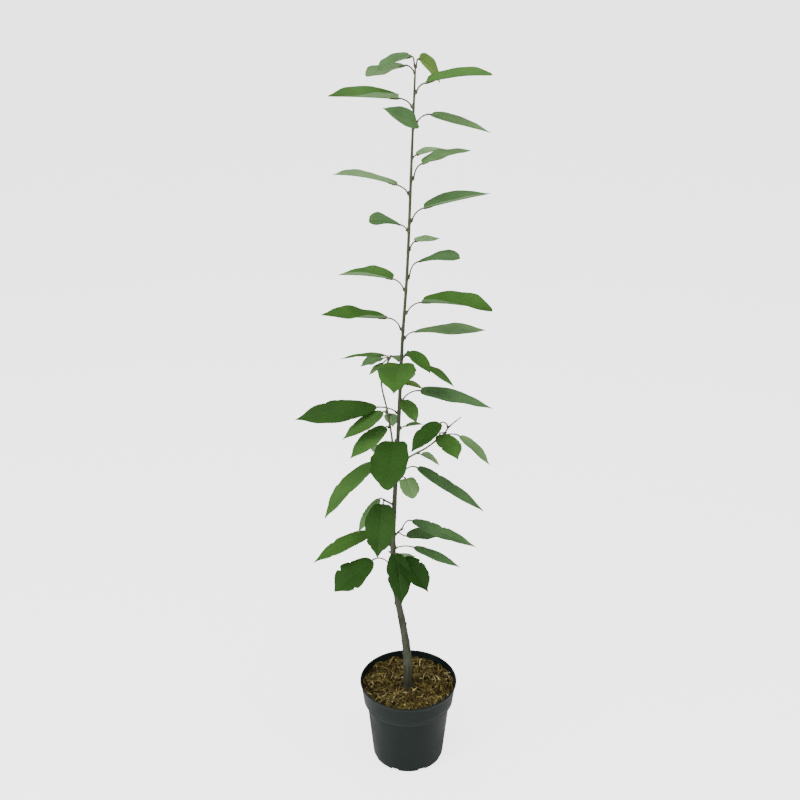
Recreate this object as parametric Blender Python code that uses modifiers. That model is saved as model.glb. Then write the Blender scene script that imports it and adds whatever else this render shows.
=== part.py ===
"""Young fruit tree in a round nursery pot.

Units are metres and degrees, +Z is up, and the origin is the centre of the pot's flat
underside. The tree faces -Y: a turn of 0 points to +X, 90 to +Y, 180 to -X, 270 to -Y.

The stem and its two side shoots are tapering limbs through a few stations. Every leaf
hangs on a thin stalk that starts just clear of its limb, and its blade is a thin sheet
folded along the midrib. Leaves that share one short shoot are one mass.
"""

import math
import random
from dataclasses import dataclass

import bmesh
import bpy
from mathutils import Matrix, Vector

SEED = 17
GAP = 0.0003  # between neighbouring pieces
UP = Vector((0.0, 0.0, 1.0))

# Pot: a tapered wall, a ledge, and a wider collar that ends in a rounded rim
POT_HEIGHT = 0.1545
RIM_RADIUS = 0.0850
RIM_BEAD = 0.0016
COLLAR_BASE_HEIGHT = 0.1150
COLLAR_BASE_RADIUS = 0.0787
WALL_TOP_RADIUS = 0.0735
BASE_RADIUS = 0.0624
BASE_EDGE = 0.0030
POT_WALL = 0.0014
POT_FLOOR = 0.0020
ROUND_STEPS = 40
DRAIN_COUNT = 8
DRAIN_WIDTH = 0.0130
DRAIN_LENGTH = 0.0120
DRAIN_HEIGHT = 0.0042

# Root ball: fills the pot to a low mound of mulch round the stem
MULCH_EDGE_HEIGHT = 0.1410
GROUND_HEIGHT = 0.1440
FOOT_PATCH_RADIUS = 0.0150

# Limbs: stations of height, distance across (X), depth (Y) and diameter
TRUNK_STATIONS = (
    (GROUND_HEIGHT + GAP, -0.0010, -0.0110, 0.0210),
    (0.1540, -0.0010, -0.0110, 0.0166),
    (0.2180, -0.0030, -0.0050, 0.0140),
    (0.2730, -0.0105, -0.0012, 0.0121),
    (0.3270, -0.0197, 0.0015, 0.0108),
    (0.4170, -0.0264, 0.0020, 0.0091),
    (0.5120, -0.0235, 0.0012, 0.0076),
    (0.6420, -0.0172, 0.0000, 0.0061),
    (0.7850, -0.0113, -0.0012, 0.0051),
    (0.9030, -0.0039, -0.0010, 0.0046),
    (1.0670, 0.0020, 0.0005, 0.0040),
    (1.1830, 0.0062, 0.0015, 0.0029),
)
RIGHT_SHOOT_STATIONS = (
    (0.5770, -0.0120, -0.0030, 0.0036),
    (0.6156, 0.0314, -0.0110, 0.0030),
    (0.6396, 0.0548, -0.0160, 0.0026),
    (0.6522, 0.0622, -0.0180, 0.0024),
    (0.6703, 0.0795, -0.0220, 0.0014),
)
LEFT_SHOOT_STATIONS = (
    (0.5750, -0.0258, -0.0035, 0.0036),
    (0.6230, -0.0270, -0.0080, 0.0034),
    (0.6798, -0.0351, -0.0120, 0.0030),
    (0.7243, -0.0437, -0.0130, 0.0026),
    (0.7463, -0.0400, -0.0120, 0.0025),
    (0.7600, -0.0330, -0.0105, 0.0024),
)
LIMB_STEP = 0.030
TWIG_STEP = 0.012

# Leaves
BLADE_THICKNESS = 0.0014
BLADE_STATIONS = 7
STALK_RADIUS = 0.0009
SHORT_SHOOT_RADIUS = 0.0017
FOLD = 10.0
DROOP = 18.0
CLEAR_OF_LIMB = 0.004


@dataclass
class Leaf:
    """One leaf: where its stalk leaves the limb, where the blade begins and how it lies.

    reach and lift are the horizontal and vertical distances from the stalk's start to the
    blade's base. pitch is the slope of the straight line from base to tip, swing turns the
    blade away from its stalk's direction, breadth is the width over the length, and widest
    is the share of the length where the blade is widest. full is under 1 for a blunt blade.
    bow curves the midrib to the left, and twist is how much the roll grows from base to tip.
    """

    height: float
    turn: float
    reach: float
    lift: float
    length: float
    pitch: float = 0.0
    roll: float = 0.0
    breadth: float = 0.44
    swing: float = 0.0
    fold: float = FOLD
    droop: float = DROOP
    widest: float = 0.42
    full: float = 1.0
    bow: float = 0.0
    twist: float = 0.0


# The leader's leaves, from the top down, one node each
LEADER_LEAVES = (
    Leaf(1.161, 335, 0.0145, 0.0140, 0.101, 9, roll=15, fold=14, widest=0.34, full=0.5),
    Leaf(
        1.141, 190, 0.0196, 0.0126, 0.101, 3, roll=8, fold=35,
        breadth=0.39, droop=4, widest=0.38, full=0.7, twist=-38,
    ),
    Leaf(1.112, 290, 0.014, 0.0120, 0.072, 21, swing=-65, roll=-52, breadth=0.46, droop=-12, widest=0.28),
    Leaf(1.115, 345, 0.024, 0.0170, 0.090, -14, roll=12, breadth=0.29, droop=8, widest=0.32),
    Leaf(1.070, 56, 0.012, 0.0020, 0.080, -3, roll=6, breadth=0.27),
    Leaf(1.039, 10, 0.014, 0.0220, 0.074, 13, fold=16, breadth=0.56, full=0.7),
    Leaf(1.017, 155, 0.020, 0.0120, 0.106, 3, roll=18, fold=20, breadth=0.36, droop=14, full=0.8),
    Leaf(0.977, 10, 0.019, 0.0190, 0.102, 10, fold=30, breadth=0.43, droop=5),
    Leaf(0.963, 150, 0.012, 0.0070, 0.048, 7, swing=22, roll=-32, widest=0.86, breadth=0.60, full=0.35),
    Leaf(0.933, 48, 0.014, 0.0110, 0.058, -7, roll=8, breadth=0.40),
    Leaf(0.890, 32, 0.018, 0.0230, 0.064, 4, swing=-24, roll=16, widest=0.84, breadth=0.56, full=0.35),
    Leaf(0.871, 147, 0.021, 0.0140, 0.104, -6, roll=2, fold=28, breadth=0.40, droop=14),
    Leaf(
        0.835, 350, 0.024, 0.0190, 0.108, -4, roll=-6, fold=30,
        breadth=0.44, widest=0.48, full=0.55, twist=34,
    ),
    Leaf(0.809, 195, 0.023, 0.0205, 0.102, 8, roll=12, fold=28, breadth=0.46, droop=-5, full=0.8, twist=-34),
    Leaf(0.794, 15, 0.016, 0.0095, 0.117, -4, fold=6, breadth=0.44, widest=0.60),
    Leaf(0.690, 355, 0.029, 0.0180, 0.118, -13, roll=8, fold=6, breadth=0.32, widest=0.35),
    Leaf(0.669, 190, 0.032, 0.0120, 0.130, -5, roll=-20, fold=6, breadth=0.38, droop=10, widest=0.52),
)

# Single leaves of the lower stem
LOWER_LEAVES = (
    Leaf(0.757, 264, 0.016, 0.0030, 0.090, -8, breadth=0.66),
    Leaf(0.713, 35, 0.010, 0.0020, 0.034, -25, roll=15, breadth=0.60),
    Leaf(0.641, 20, 0.010, 0.0030, 0.030, -4),
    Leaf(0.605, 264, 0.032, 0.0300, 0.108, -17, breadth=0.54, widest=0.50, full=0.5, bow=-0.10),
    Leaf(0.553, 345, 0.032, 0.0230, 0.128, -30, roll=8, fold=6, breadth=0.24, droop=8, full=0.8),
    Leaf(0.560, 205, 0.034, 0.0260, 0.120, -42, roll=-4, breadth=0.34, droop=34, full=0.8),
    Leaf(0.549, 322, 0.016, 0.0090, 0.036, -44, swing=-22, breadth=0.95, full=0.5),
    Leaf(0.427, 200, 0.033, 0.0300, 0.108, -20, roll=-12, breadth=0.32, droop=24),
    Leaf(0.386, 215, 0.038, 0.0260, 0.082, -24, roll=-12, breadth=0.66, widest=0.56, full=0.8),
    Leaf(0.421, 345, 0.031, 0.0060, 0.084, -18, roll=10, breadth=0.28, droop=6),
)

# Single leaves of the two side shoots
RIGHT_SHOOT_LEAVES = (
    Leaf(0.652, 215, 0.016, 0.0110, 0.066, -32, breadth=0.62),
    Leaf(0.641, 240, 0.015, 0.0035, 0.060, -18, swing=58, breadth=0.66, widest=0.46),
    Leaf(0.640, 330, 0.026, 0.0030, 0.066, -35, breadth=0.34),
    Leaf(0.602, 20, 0.007, -0.0040, 0.042, -40, roll=20, breadth=0.50, droop=50),
)
LEFT_SHOOT_LEAVES = (
    Leaf(0.676, 205, 0.006, 0.0010, 0.077, -26, roll=-10, breadth=0.42, droop=6),
    Leaf(0.649, 215, 0.006, 0.0020, 0.078, -28, roll=-10, breadth=0.48, droop=14),
    Leaf(0.662, 82, 0.012, 0.0040, 0.046, -52, breadth=0.50),
)

# Leaves that hang at the back of the lower stem
BACK_LEAVES = (
    Leaf(0.728, 84, 0.020, 0.0060, 0.080, -38, breadth=0.50),
    Leaf(0.600, 112, 0.020, 0.0060, 0.086, -38, breadth=0.48),
    Leaf(0.478, 104, 0.014, 0.0020, 0.076, -52, breadth=0.42),
    Leaf(0.386, 76, 0.022, 0.0080, 0.084, -42, breadth=0.54),
)


@dataclass
class Spray:
    """Leaves on one short shoot, fused into one mass.

    The short shoot leaves its limb at height, or goes on from the limb's tip, and ends
    reach out and lift up from there. Its leaves' heights run along it, from its foot.
    """

    limb: str
    height: float
    turn: float
    reach: float
    lift: float
    leaves: tuple


TIP = 9.0  # a height above any limb: the short shoot goes on from the limb's tip
SPRAYS = {
    "top_tuft": Spray(
        "trunk", TIP, 0, 0.0006, 0.0145,
        (
            Leaf(
                0.0140, 200, 0.0070, 0.0132, 0.053, -19,
                roll=-6, fold=37, breadth=0.60, widest=0.46, full=0.65, droop=14, twist=-8,
            ),
            Leaf(0.004, 152, 0.0162, 0.0098, 0.065, -17, roll=20, breadth=0.58, widest=0.64, full=0.5),
            Leaf(
                0.0122, 38, 0.0066, 0.0106, 0.054, -43,
                roll=54, fold=20, breadth=0.64, widest=0.42, full=0.85, droop=40,
            ),
        ),
    ),
    "left_rosette": Spray(
        "left_shoot", TIP, 20, 0.0030, 0.0060,
        (
            Leaf(0.007, 160, 0.010, 0.0030, 0.076, -12, breadth=0.28),
            Leaf(0.006, 200, 0.012, 0.0010, 0.037, -14, breadth=0.80),
            Leaf(0.005, 205, 0.012, -0.0060, 0.028, -34, breadth=0.60),
            Leaf(0.007, 75, 0.010, 0.0000, 0.052, -32),
        ),
    ),
    "middle_spur": Spray(
        "trunk", 0.764, 350, 0.0040, 0.0050,
        (
            Leaf(0.006, 335, 0.0050, 0.0060, 0.056, -22, swing=-25, breadth=0.50),
            Leaf(0.004, 345, 0.0330, -0.0160, 0.054, -32, breadth=0.48, full=0.8),
        ),
    ),
    "front_spur": Spray(
        "trunk", 0.685, 316, 0.0040, 0.0040,
        (
            Leaf(0.005, 290, 0.006, 0.0070, 0.060, -15, breadth=0.44),
        ),
    ),
    "left_spur": Spray(
        "trunk", 0.505, 200, 0.0145, 0.0100,
        (
            Leaf(0.018, 261, 0.011, -0.0010, 0.088, -50, breadth=0.58, full=0.8),
            Leaf(0.016, 195, 0.008, 0.0040, 0.070, -58, roll=-60, breadth=0.25),
        ),
    ),
    "foot_spur": Spray(
        "trunk", 0.402, 300, 0.0060, 0.0080,
        (
            Leaf(0.009, 262, 0.012, 0.0130, 0.086, -46, swing=18, breadth=0.50),
            Leaf(0.007, 312, 0.016, 0.0050, 0.073, -30, breadth=0.62),
        ),
    ),
    "right_spur": Spray(
        "trunk", 0.447, 0, 0.0100, 0.0100,
        (
            Leaf(0.013, 345, 0.018, 0.0190, 0.114, -17, roll=8, breadth=0.26, droop=4),
            Leaf(0.004, 10, 0.015, -0.0078, 0.072, -4, roll=12, breadth=0.42),
        ),
    ),
}


def clear_scene():
    """Removes every object, so that the script can be run again in one session."""
    for obj in list(bpy.data.objects):
        bpy.data.objects.remove(obj, do_unlink=True)


def new_collection(name):
    """A collection under the scene's own."""
    group = bpy.data.collections.new(name)
    bpy.context.scene.collection.children.link(group)
    return group


def material(name, colour, roughness):
    """A plain, non-metallic surface."""
    made = bpy.data.materials.new(name)
    made.use_nodes = True
    shader = made.node_tree.nodes["Principled BSDF"]
    shader.inputs["Base Color"].default_value = (*colour, 1.0)
    shader.inputs["Roughness"].default_value = roughness
    shader.inputs["Metallic"].default_value = 0.0
    return made


def heading(turn):
    """The level unit vector of a turn."""
    angle = math.radians(turn)
    return Vector((math.cos(angle), math.sin(angle), 0.0))


class Limb:
    """A tapering limb: a smooth line through its stations, read by height."""

    def __init__(self, stations):
        self.stations = stations
        self.foot = stations[0][0]
        self.top = stations[-1][0]

    def slope(self, index, value):
        """The line's slope at a station: level with the neighbours, upright at the foot."""
        if index == 0:
            return 0.0
        after = min(index + 1, len(self.stations) - 1)
        low, high = self.stations[index - 1], self.stations[after]
        return (high[value] - low[value]) / (high[0] - low[0])

    def read(self, height, value):
        """One value of the line at a height, by a cubic between two stations."""
        height = min(max(height, self.foot), self.top)
        index = 0
        while index < len(self.stations) - 2 and height > self.stations[index + 1][0]:
            index += 1
        low, high = self.stations[index], self.stations[index + 1]
        span = high[0] - low[0]
        t = (height - low[0]) / span
        rise = self.slope(index, value) * span
        fall = self.slope(index + 1, value) * span
        return (
            low[value] * (2 * t**3 - 3 * t**2 + 1)
            + rise * (t**3 - 2 * t**2 + t)
            + high[value] * (3 * t**2 - 2 * t**3)
            + fall * (t**3 - t**2)
        )

    def centre(self, height):
        """The limb's middle at a height."""
        height = min(max(height, self.foot), self.top)
        return Vector((self.read(height, 1), self.read(height, 2), height))

    def radius(self, height):
        """Half the limb's diameter at a height."""
        return self.read(height, 3) / 2.0

    def direction(self, height):
        """The limb's own direction at a height."""
        step = 0.001
        return (self.centre(height + step) - self.centre(height - step)).normalized()


LIMBS = {
    "trunk": Limb(TRUNK_STATIONS),
    "right_shoot": Limb(RIGHT_SHOOT_STATIONS),
    "left_shoot": Limb(LEFT_SHOOT_STATIONS),
}


def tube(name, points, radii, sides, group):
    """A curve object through the points, round, closed, with its own radius at each."""
    curve = bpy.data.curves.new(name, "CURVE")
    curve.dimensions = "3D"
    curve.bevel_depth = 1.0
    curve.bevel_resolution = (sides - 4) // 2
    curve.use_fill_caps = True
    spline = curve.splines.new("POLY")
    spline.points.add(len(points) - 1)
    for point, place, radius in zip(spline.points, points, radii):
        point.co = (*place, 1.0)
        point.radius = radius
    obj = bpy.data.objects.new(name, curve)
    group.objects.link(obj)
    return obj


def meshed(obj, group):
    """The object's evaluated shape as a new mesh object; the old one is removed."""
    bpy.context.view_layer.update()
    depsgraph = bpy.context.evaluated_depsgraph_get()
    mesh = bpy.data.meshes.new_from_object(obj.evaluated_get(depsgraph))
    name = obj.name
    bpy.data.objects.remove(obj, do_unlink=True)
    work = bmesh.new()
    work.from_mesh(mesh)
    bmesh.ops.remove_doubles(work, verts=work.verts, dist=0.000001)
    bmesh.ops.recalc_face_normals(work, faces=work.faces)
    work.to_mesh(mesh)
    work.free()
    made = bpy.data.objects.new(name, mesh)
    group.objects.link(made)
    return made


def make_limb(name, limb, step, sides, group):
    """A limb as one tapering solid with a flat cut at its foot."""
    count = math.ceil((limb.top - limb.foot) / step)
    heights = [limb.foot + (limb.top - limb.foot) * i / count for i in range(count + 1)]
    if name == "trunk":
        heights[1:1] = [station[0] for station in limb.stations[1:2]]
    points = [limb.centre(height) for height in heights]
    radii = [limb.radius(height) for height in heights]
    obj = tube(name, points, radii, sides, group)
    obj.data.materials.append(material(name + "_bark", (0.16, 0.18, 0.07), 0.6))
    return obj


def breadth_at(along, widest, full):
    """A blade's half width at a share of its length, where the widest place counts 1."""
    power = math.log(0.5) / math.log(widest)
    body = math.sin(math.pi * along**power) ** (0.8 * full) if 0.0 < along < 1.0 else 0.0
    point = 1.0 - 0.35 * max(0.0, (along - 0.75) / 0.25)
    return max(body * point, 0.02)


class Blade:
    """Where a leaf's blade lies: an arc for the midrib, with both halves raised from it."""

    def __init__(self, leaf, base, number):
        chance = random.Random(SEED + number)
        self.base = base
        self.length = leaf.length
        self.half_width = leaf.length * leaf.breadth / 2.0 * chance.uniform(0.95, 1.05)
        self.bend = math.radians(leaf.droop * chance.uniform(0.7, 1.3))
        self.start = math.radians(leaf.pitch) + self.bend / 2.0
        self.fold = math.radians(leaf.fold + chance.uniform(-3.0, 3.0))
        self.roll = math.radians(leaf.roll + chance.uniform(-3.0, 3.0))
        self.bow = leaf.bow + chance.uniform(-0.05, 0.05)
        self.twist = math.radians(leaf.twist)
        self.widest = leaf.widest
        self.full = leaf.full
        self.ahead = heading(leaf.turn + leaf.swing)
        self.left = UP.cross(self.ahead)

    def slope(self, along):
        """The midrib's own direction."""
        angle = self.start - self.bend * along
        return self.ahead * math.cos(angle) + UP * math.sin(angle)

    def midrib(self, along):
        """A point of the midrib: an arc in the upright plane, bowed a little sideways."""
        angle = self.start - self.bend * along
        forward = (math.sin(self.start) - math.sin(angle)) / self.bend
        rise = (math.cos(angle) - math.cos(self.start)) / self.bend
        aside = self.bow * (along - along * along)
        way = self.ahead * forward + UP * rise + self.left * aside
        return self.base + way * self.length

    def point(self, along, across):
        """A point of the blade: across runs from -1 at the right edge to 1 at the left."""
        turned = Matrix.Rotation(self.roll + self.twist * along, 3, self.slope(along))
        normal = self.slope(along).cross(self.left)
        out = self.left * math.cos(self.fold) * across + normal * math.sin(self.fold) * abs(across)
        wide = self.half_width * breadth_at(along, self.widest, self.full)
        return self.midrib(along) + turned @ out * wide

    def clear_of(self, limb):
        """True if no part of the blade comes near the limb."""
        for step in range(BLADE_STATIONS + 1):
            for across in (-1.0, -0.5, 0.0, 0.5, 1.0):
                place = self.point(step / BLADE_STATIONS, across)
                away = (place - limb.centre(place.z)).length
                if away < limb.radius(place.z) + CLEAR_OF_LIMB:
                    return False
        return True


def make_blade(name, blade, group):
    """The blade as a thin closed sheet: a grid laid on the folded arc, then given thickness."""
    work = bmesh.new()
    bmesh.ops.create_grid(work, x_segments=BLADE_STATIONS, y_segments=2, size=1.0)
    for vert in work.verts:
        vert.co = blade.point((vert.co.x + 1.0) / 2.0, vert.co.y)
    mesh = bpy.data.meshes.new(name)
    work.to_mesh(mesh)
    work.free()
    obj = bpy.data.objects.new(name, mesh)
    group.objects.link(obj)
    sheet = obj.modifiers.new("thickness", "SOLIDIFY")
    sheet.thickness = BLADE_THICKNESS
    sheet.offset = 0.0
    return meshed(obj, group)


def stalk_start(limb, height, turn):
    """Where a stalk leaves a limb, and the direction in which it does."""
    if height > limb.top:
        along = limb.direction(limb.top)
        return limb.centre(limb.top) + along * GAP, along
    along = limb.direction(height)
    out = heading(turn) - along * heading(turn).dot(along)
    out.normalize()
    return limb.centre(height) + out * (limb.radius(height) + GAP), out


def cubic(start, first, second, end, count):
    """Points along a cubic from start to end."""
    points = []
    for step in range(count + 1):
        t = step / count
        u = 1.0 - t
        points.append(start * u**3 + first * 3 * u * u * t + second * 3 * u * t * t + end * t**3)
    return points


def make_stalk(name, start, out, blade, lift, group):
    """A thin stalk that arches from the limb and runs on under the blade's foot."""
    distance = (blade.base - start).length
    foot = start + out * 0.0012
    first = foot + out * 0.10 * distance + UP * (0.5 * max(lift, 0.0) + 0.001)
    second = blade.base - blade.slope(0.0) * 0.35 * distance
    points = [start] + cubic(foot, first, second, blade.base, 4)
    points += [blade.midrib(share) for share in (0.07, 0.15, 0.24)]
    radii = [STALK_RADIUS * 1.25, STALK_RADIUS * 1.15]
    radii += [STALK_RADIUS] * (len(points) - 3)
    radii += [STALK_RADIUS * 0.8]
    return meshed(tube(name, points, radii, 4, group), group)


def fuse(name, pieces, parts, group):
    """One solid from overlapping pieces: a Boolean union on their collection, applied."""
    body = pieces[0]
    group.objects.unlink(body)
    parts.objects.link(body)
    union = body.modifiers.new("union", "BOOLEAN")
    union.operation = "UNION"
    union.operand_type = "COLLECTION"
    union.collection = group
    union.solver = "MANIFOLD"
    body.name = name + "_raw"
    made = meshed(body, parts)
    made.name = name
    made.data.name = name
    for piece in list(group.objects):
        bpy.data.objects.remove(piece, do_unlink=True)
    return made


def leaf_colour(number):
    """A green that differs a little from leaf to leaf."""
    chance = random.Random(SEED + 1000 + number)
    light = chance.uniform(0.8, 1.2)
    return 0.075 * light, 0.19 * light, 0.05 * light


def make_leaf(name, limb, leaf, number, parts, group):
    """A single leaf with its stalk, or nothing where the blade would touch the stem."""
    start, out = stalk_start(limb, leaf.height, leaf.turn)
    base = start + heading(leaf.turn) * leaf.reach + UP * leaf.lift
    blade = Blade(leaf, base, number)
    if not all(blade.clear_of(other) for other in LIMBS.values()):
        return None
    pieces = [
        make_blade(name + "_blade", blade, group),
        make_stalk(name + "_stalk", start, out, blade, leaf.lift, group),
    ]
    made = fuse(name, pieces, parts, group)
    made.data.materials.clear()
    made.data.materials.append(material(name + "_green", leaf_colour(number), 0.45))
    return made


def make_spray(name, spray, number, parts, group):
    """A short shoot with its leaves, fused into one mass."""
    start, out = stalk_start(LIMBS[spray.limb], spray.height, spray.turn)
    way = heading(spray.turn) * spray.reach + UP * spray.lift
    end = start + way
    points = [start, start + out * 0.0015, start + way * 0.6, end]
    radii = [SHORT_SHOOT_RADIUS * share for share in (1.0, 1.0, 0.95, 1.0)]
    if spray.height > LIMBS[spray.limb].top:
        radii = [LIMBS[spray.limb].radius(TIP) * share for share in (1.0, 1.0, 0.95, 0.9)]
    pieces = [meshed(tube(name + "_shoot", points, radii, 6, group), group)]
    for index, leaf in enumerate(spray.leaves):
        foot = start + way.normalized() * min(leaf.height, way.length - 0.001)
        base = foot + heading(leaf.turn) * leaf.reach + UP * leaf.lift
        blade = Blade(leaf, base, number + index)
        if not all(blade.clear_of(other) for other in LIMBS.values()):
            continue
        pieces.append(make_blade(f"{name}_blade_{index}", blade, group))
        towards = heading(leaf.turn)
        pieces.append(make_stalk(f"{name}_stalk_{index}", foot, towards, blade, leaf.lift, group))
    made = fuse(name, pieces, parts, group)
    made.data.materials.clear()
    made.data.materials.append(material(name + "_green", leaf_colour(number), 0.45))
    return made


def wall_radius(height):
    """The pot's outer radius below the ledge."""
    return BASE_RADIUS + (WALL_TOP_RADIUS - BASE_RADIUS) * height / COLLAR_BASE_HEIGHT


def collar_radius(height):
    """The pot's outer radius above the ledge, under the rim's bead."""
    share = (height - COLLAR_BASE_HEIGHT) / (POT_HEIGHT - COLLAR_BASE_HEIGHT)
    top = RIM_RADIUS - RIM_BEAD * 0.6
    return COLLAR_BASE_RADIUS + (top - COLLAR_BASE_RADIUS) * share


def inner_profile(clear, top):
    """The pot's inner side from the middle of its floor up to a height, drawn in by clear."""
    thick = POT_WALL + clear
    corner = BASE_EDGE + thick
    ledge = COLLAR_BASE_HEIGHT + thick
    return [
        (0.0, POT_FLOOR + clear),
        (BASE_RADIUS - BASE_EDGE - clear, POT_FLOOR + clear),
        (wall_radius(corner) - thick, corner),
        (WALL_TOP_RADIUS - thick, ledge - 0.0004),
        (COLLAR_BASE_RADIUS - thick, ledge + 0.0004),
        (collar_radius(top) - thick, top),
    ]


def rim_bead():
    """The rim's rounded lip, from its inner foot over the top to its outer foot."""
    points = []
    for angle in (190.0, 140.0, 100.0, 60.0, 20.0, -20.0, -60.0):
        radius = RIM_RADIUS - RIM_BEAD + RIM_BEAD * math.cos(math.radians(angle))
        height = POT_HEIGHT - RIM_BEAD + RIM_BEAD * math.sin(math.radians(angle))
        points.append((radius, height))
    return points


def outer_profile():
    """The pot's outer side, from under the bead down to the middle of its underside."""
    ledge = COLLAR_BASE_HEIGHT
    return [
        (collar_radius(POT_HEIGHT - 2.4 * RIM_BEAD), POT_HEIGHT - 2.4 * RIM_BEAD),
        (collar_radius(ledge + 0.0010), ledge + 0.0010),
        (COLLAR_BASE_RADIUS - 0.0008, ledge),
        (WALL_TOP_RADIUS + 0.0010, ledge),
        (WALL_TOP_RADIUS, ledge - 0.0012),
        (wall_radius(BASE_EDGE), BASE_EDGE),
        (BASE_RADIUS - BASE_EDGE * 0.3, BASE_EDGE * 0.3),
        (BASE_RADIUS - BASE_EDGE, 0.0),
        (0.0, 0.0),
    ]


def turned(name, profile, group):
    """A solid turned about the Z axis; its profile of radius and height ends down the outside."""
    mesh = bpy.data.meshes.new(name)
    edges = [(index, index + 1) for index in range(len(profile) - 1)]
    mesh.from_pydata([(radius, 0.0, height) for radius, height in profile], edges, [])
    obj = bpy.data.objects.new(name, mesh)
    group.objects.link(obj)
    screw = obj.modifiers.new("turn", "SCREW")
    screw.steps = ROUND_STEPS
    screw.render_steps = ROUND_STEPS
    screw.use_merge_vertices = True
    screw.merge_threshold = 0.00001
    return obj


def make_pot(parts, cutters):
    """The pot, with its drain slots cut through the foot of the wall."""
    low_bead = POT_HEIGHT - 2.0 * RIM_BEAD
    pot = turned("pot", inner_profile(0.0, low_bead) + rim_bead() + outer_profile(), parts)
    pot.data.materials.append(material("pot_plastic", (0.022, 0.030, 0.028), 0.42))
    for index in range(DRAIN_COUNT):
        turn = 360.0 / DRAIN_COUNT * (index + 0.5)
        bpy.ops.mesh.primitive_cube_add(size=1.0)
        slot = bpy.context.object
        slot.name = f"drain_slot_{index + 1}"
        slot.scale = (DRAIN_LENGTH, DRAIN_WIDTH, DRAIN_HEIGHT * 2.0)
        slot.location = heading(turn) * BASE_RADIUS
        slot.rotation_euler.z = math.radians(turn)
        slot.hide_render = True
        slot.display_type = "WIRE"
        for holder in list(slot.users_collection):
            holder.objects.unlink(slot)
        cutters.objects.link(slot)
    cut = pot.modifiers.new("drain slots", "BOOLEAN")
    cut.operation = "DIFFERENCE"
    cut.operand_type = "COLLECTION"
    cut.collection = cutters
    cut.solver = "EXACT"
    return pot


def make_root_ball(parts):
    """The root ball: it fills the pot, with a low mound and a flat patch under the stem."""
    mound = [
        (0.0, GROUND_HEIGHT),
        (FOOT_PATCH_RADIUS, GROUND_HEIGHT),
        (FOOT_PATCH_RADIUS * 2.5, GROUND_HEIGHT - 0.0006),
        (COLLAR_BASE_RADIUS - 0.0120, MULCH_EDGE_HEIGHT + 0.0008),
    ]
    side = list(reversed(inner_profile(GAP, MULCH_EDGE_HEIGHT)))
    ball = turned("root_ball", mound + side, parts)
    ball.data.materials.append(material("mulch", (0.12, 0.08, 0.03), 0.9))
    return ball


def make_foliage(parts, joining):
    """Every leaf and mass, each clear of the limbs."""
    single = (
        ("leader_leaf", "trunk", LEADER_LEAVES),
        ("lower_leaf", "trunk", LOWER_LEAVES),
        ("right_shoot_leaf", "right_shoot", RIGHT_SHOOT_LEAVES),
        ("left_shoot_leaf", "left_shoot", LEFT_SHOOT_LEAVES),
        ("back_leaf", "trunk", BACK_LEAVES),
    )
    number = 0
    for kind, limb, leaves in single:
        for index, leaf in enumerate(leaves, 1):
            name = f"{kind}_{index:02d}"
            make_leaf(name, LIMBS[limb], leaf, number, parts, joining)
            number += 1
    for name, spray in SPRAYS.items():
        make_spray(name, spray, number, parts, joining)
        number += len(spray.leaves)


def main():
    """Builds the whole plant in its pot."""
    clear_scene()
    parts = new_collection("sapling")
    cutters = new_collection("cutters")
    joining = new_collection("joining")
    make_foliage(parts, joining)
    make_limb("trunk", LIMBS["trunk"], LIMB_STEP, 8, parts)
    make_limb("right_shoot", LIMBS["right_shoot"], TWIG_STEP, 6, parts)
    make_limb("left_shoot", LIMBS["left_shoot"], TWIG_STEP, 6, parts)
    make_pot(parts, cutters)
    make_root_ball(parts)
    bpy.data.collections.remove(joining)


main()
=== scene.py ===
# %% [markdown]
# # A young fruit tree in a nursery pot
# The tree is one thin stem with two side shoots, some fifty leaves and a pot of mulched soil. The
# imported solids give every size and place, and this lesson gives each of them its real surface.
# Units are metres and degrees. The tree faces -Y: a turn of 0 points to +X, 90 to +Y, 180 to -X.

import math
import random
from dataclasses import dataclass

import bpy
import numpy as np
from mathutils import Matrix, Vector


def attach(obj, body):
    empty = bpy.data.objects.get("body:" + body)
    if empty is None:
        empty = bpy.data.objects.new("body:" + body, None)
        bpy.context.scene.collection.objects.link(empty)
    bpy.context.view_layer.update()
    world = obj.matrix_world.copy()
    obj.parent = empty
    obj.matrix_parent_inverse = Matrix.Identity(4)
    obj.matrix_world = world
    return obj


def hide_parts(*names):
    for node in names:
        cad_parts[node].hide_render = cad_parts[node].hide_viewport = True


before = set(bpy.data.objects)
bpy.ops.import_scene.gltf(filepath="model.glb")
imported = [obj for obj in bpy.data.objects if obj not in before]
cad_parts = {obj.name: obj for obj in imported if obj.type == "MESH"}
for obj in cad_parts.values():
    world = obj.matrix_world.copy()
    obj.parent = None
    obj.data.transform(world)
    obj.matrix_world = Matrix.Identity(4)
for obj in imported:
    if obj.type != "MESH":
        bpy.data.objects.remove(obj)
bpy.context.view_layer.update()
SCENE = bpy.context.scene
UP = Vector((0.0, 0.0, 1.0))
SEED = 17
print("packed nodes:", len(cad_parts))

# %% [markdown]
# ## Camera
# A tall plant in a low pot is seen from chest height, looking down a little, so the pot shows its
# mulch while the top leaves are seen almost from the side. The focal length is given in widths of
# the sensor.

# %% Camera
SENSOR = 36.0
FOCAL_WIDTHS = 1.385
LOOKS_DOWN = 23.4
camera = bpy.data.cameras.new("camera")
camera.sensor_width = SENSOR
camera.lens = SENSOR * FOCAL_WIDTHS
viewer = bpy.data.objects.new("camera", camera)
viewer.location = (-0.0147, -1.6, 1.383)
viewer.rotation_euler = (math.radians(90.0 - LOOKS_DOWN), 0.0, 0.0)
SCENE.collection.objects.link(viewer)
SCENE.camera = viewer
print("lens:", round(camera.lens, 1), "mm")

# %% [markdown]
# ## Helpers
# An operator works on all that is selected, so each step starts by deselecting everything. A
# finished piece sits at the origin with its place in its mesh. It is smoothed up to its creases,
# and then rides on the plant.


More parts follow.
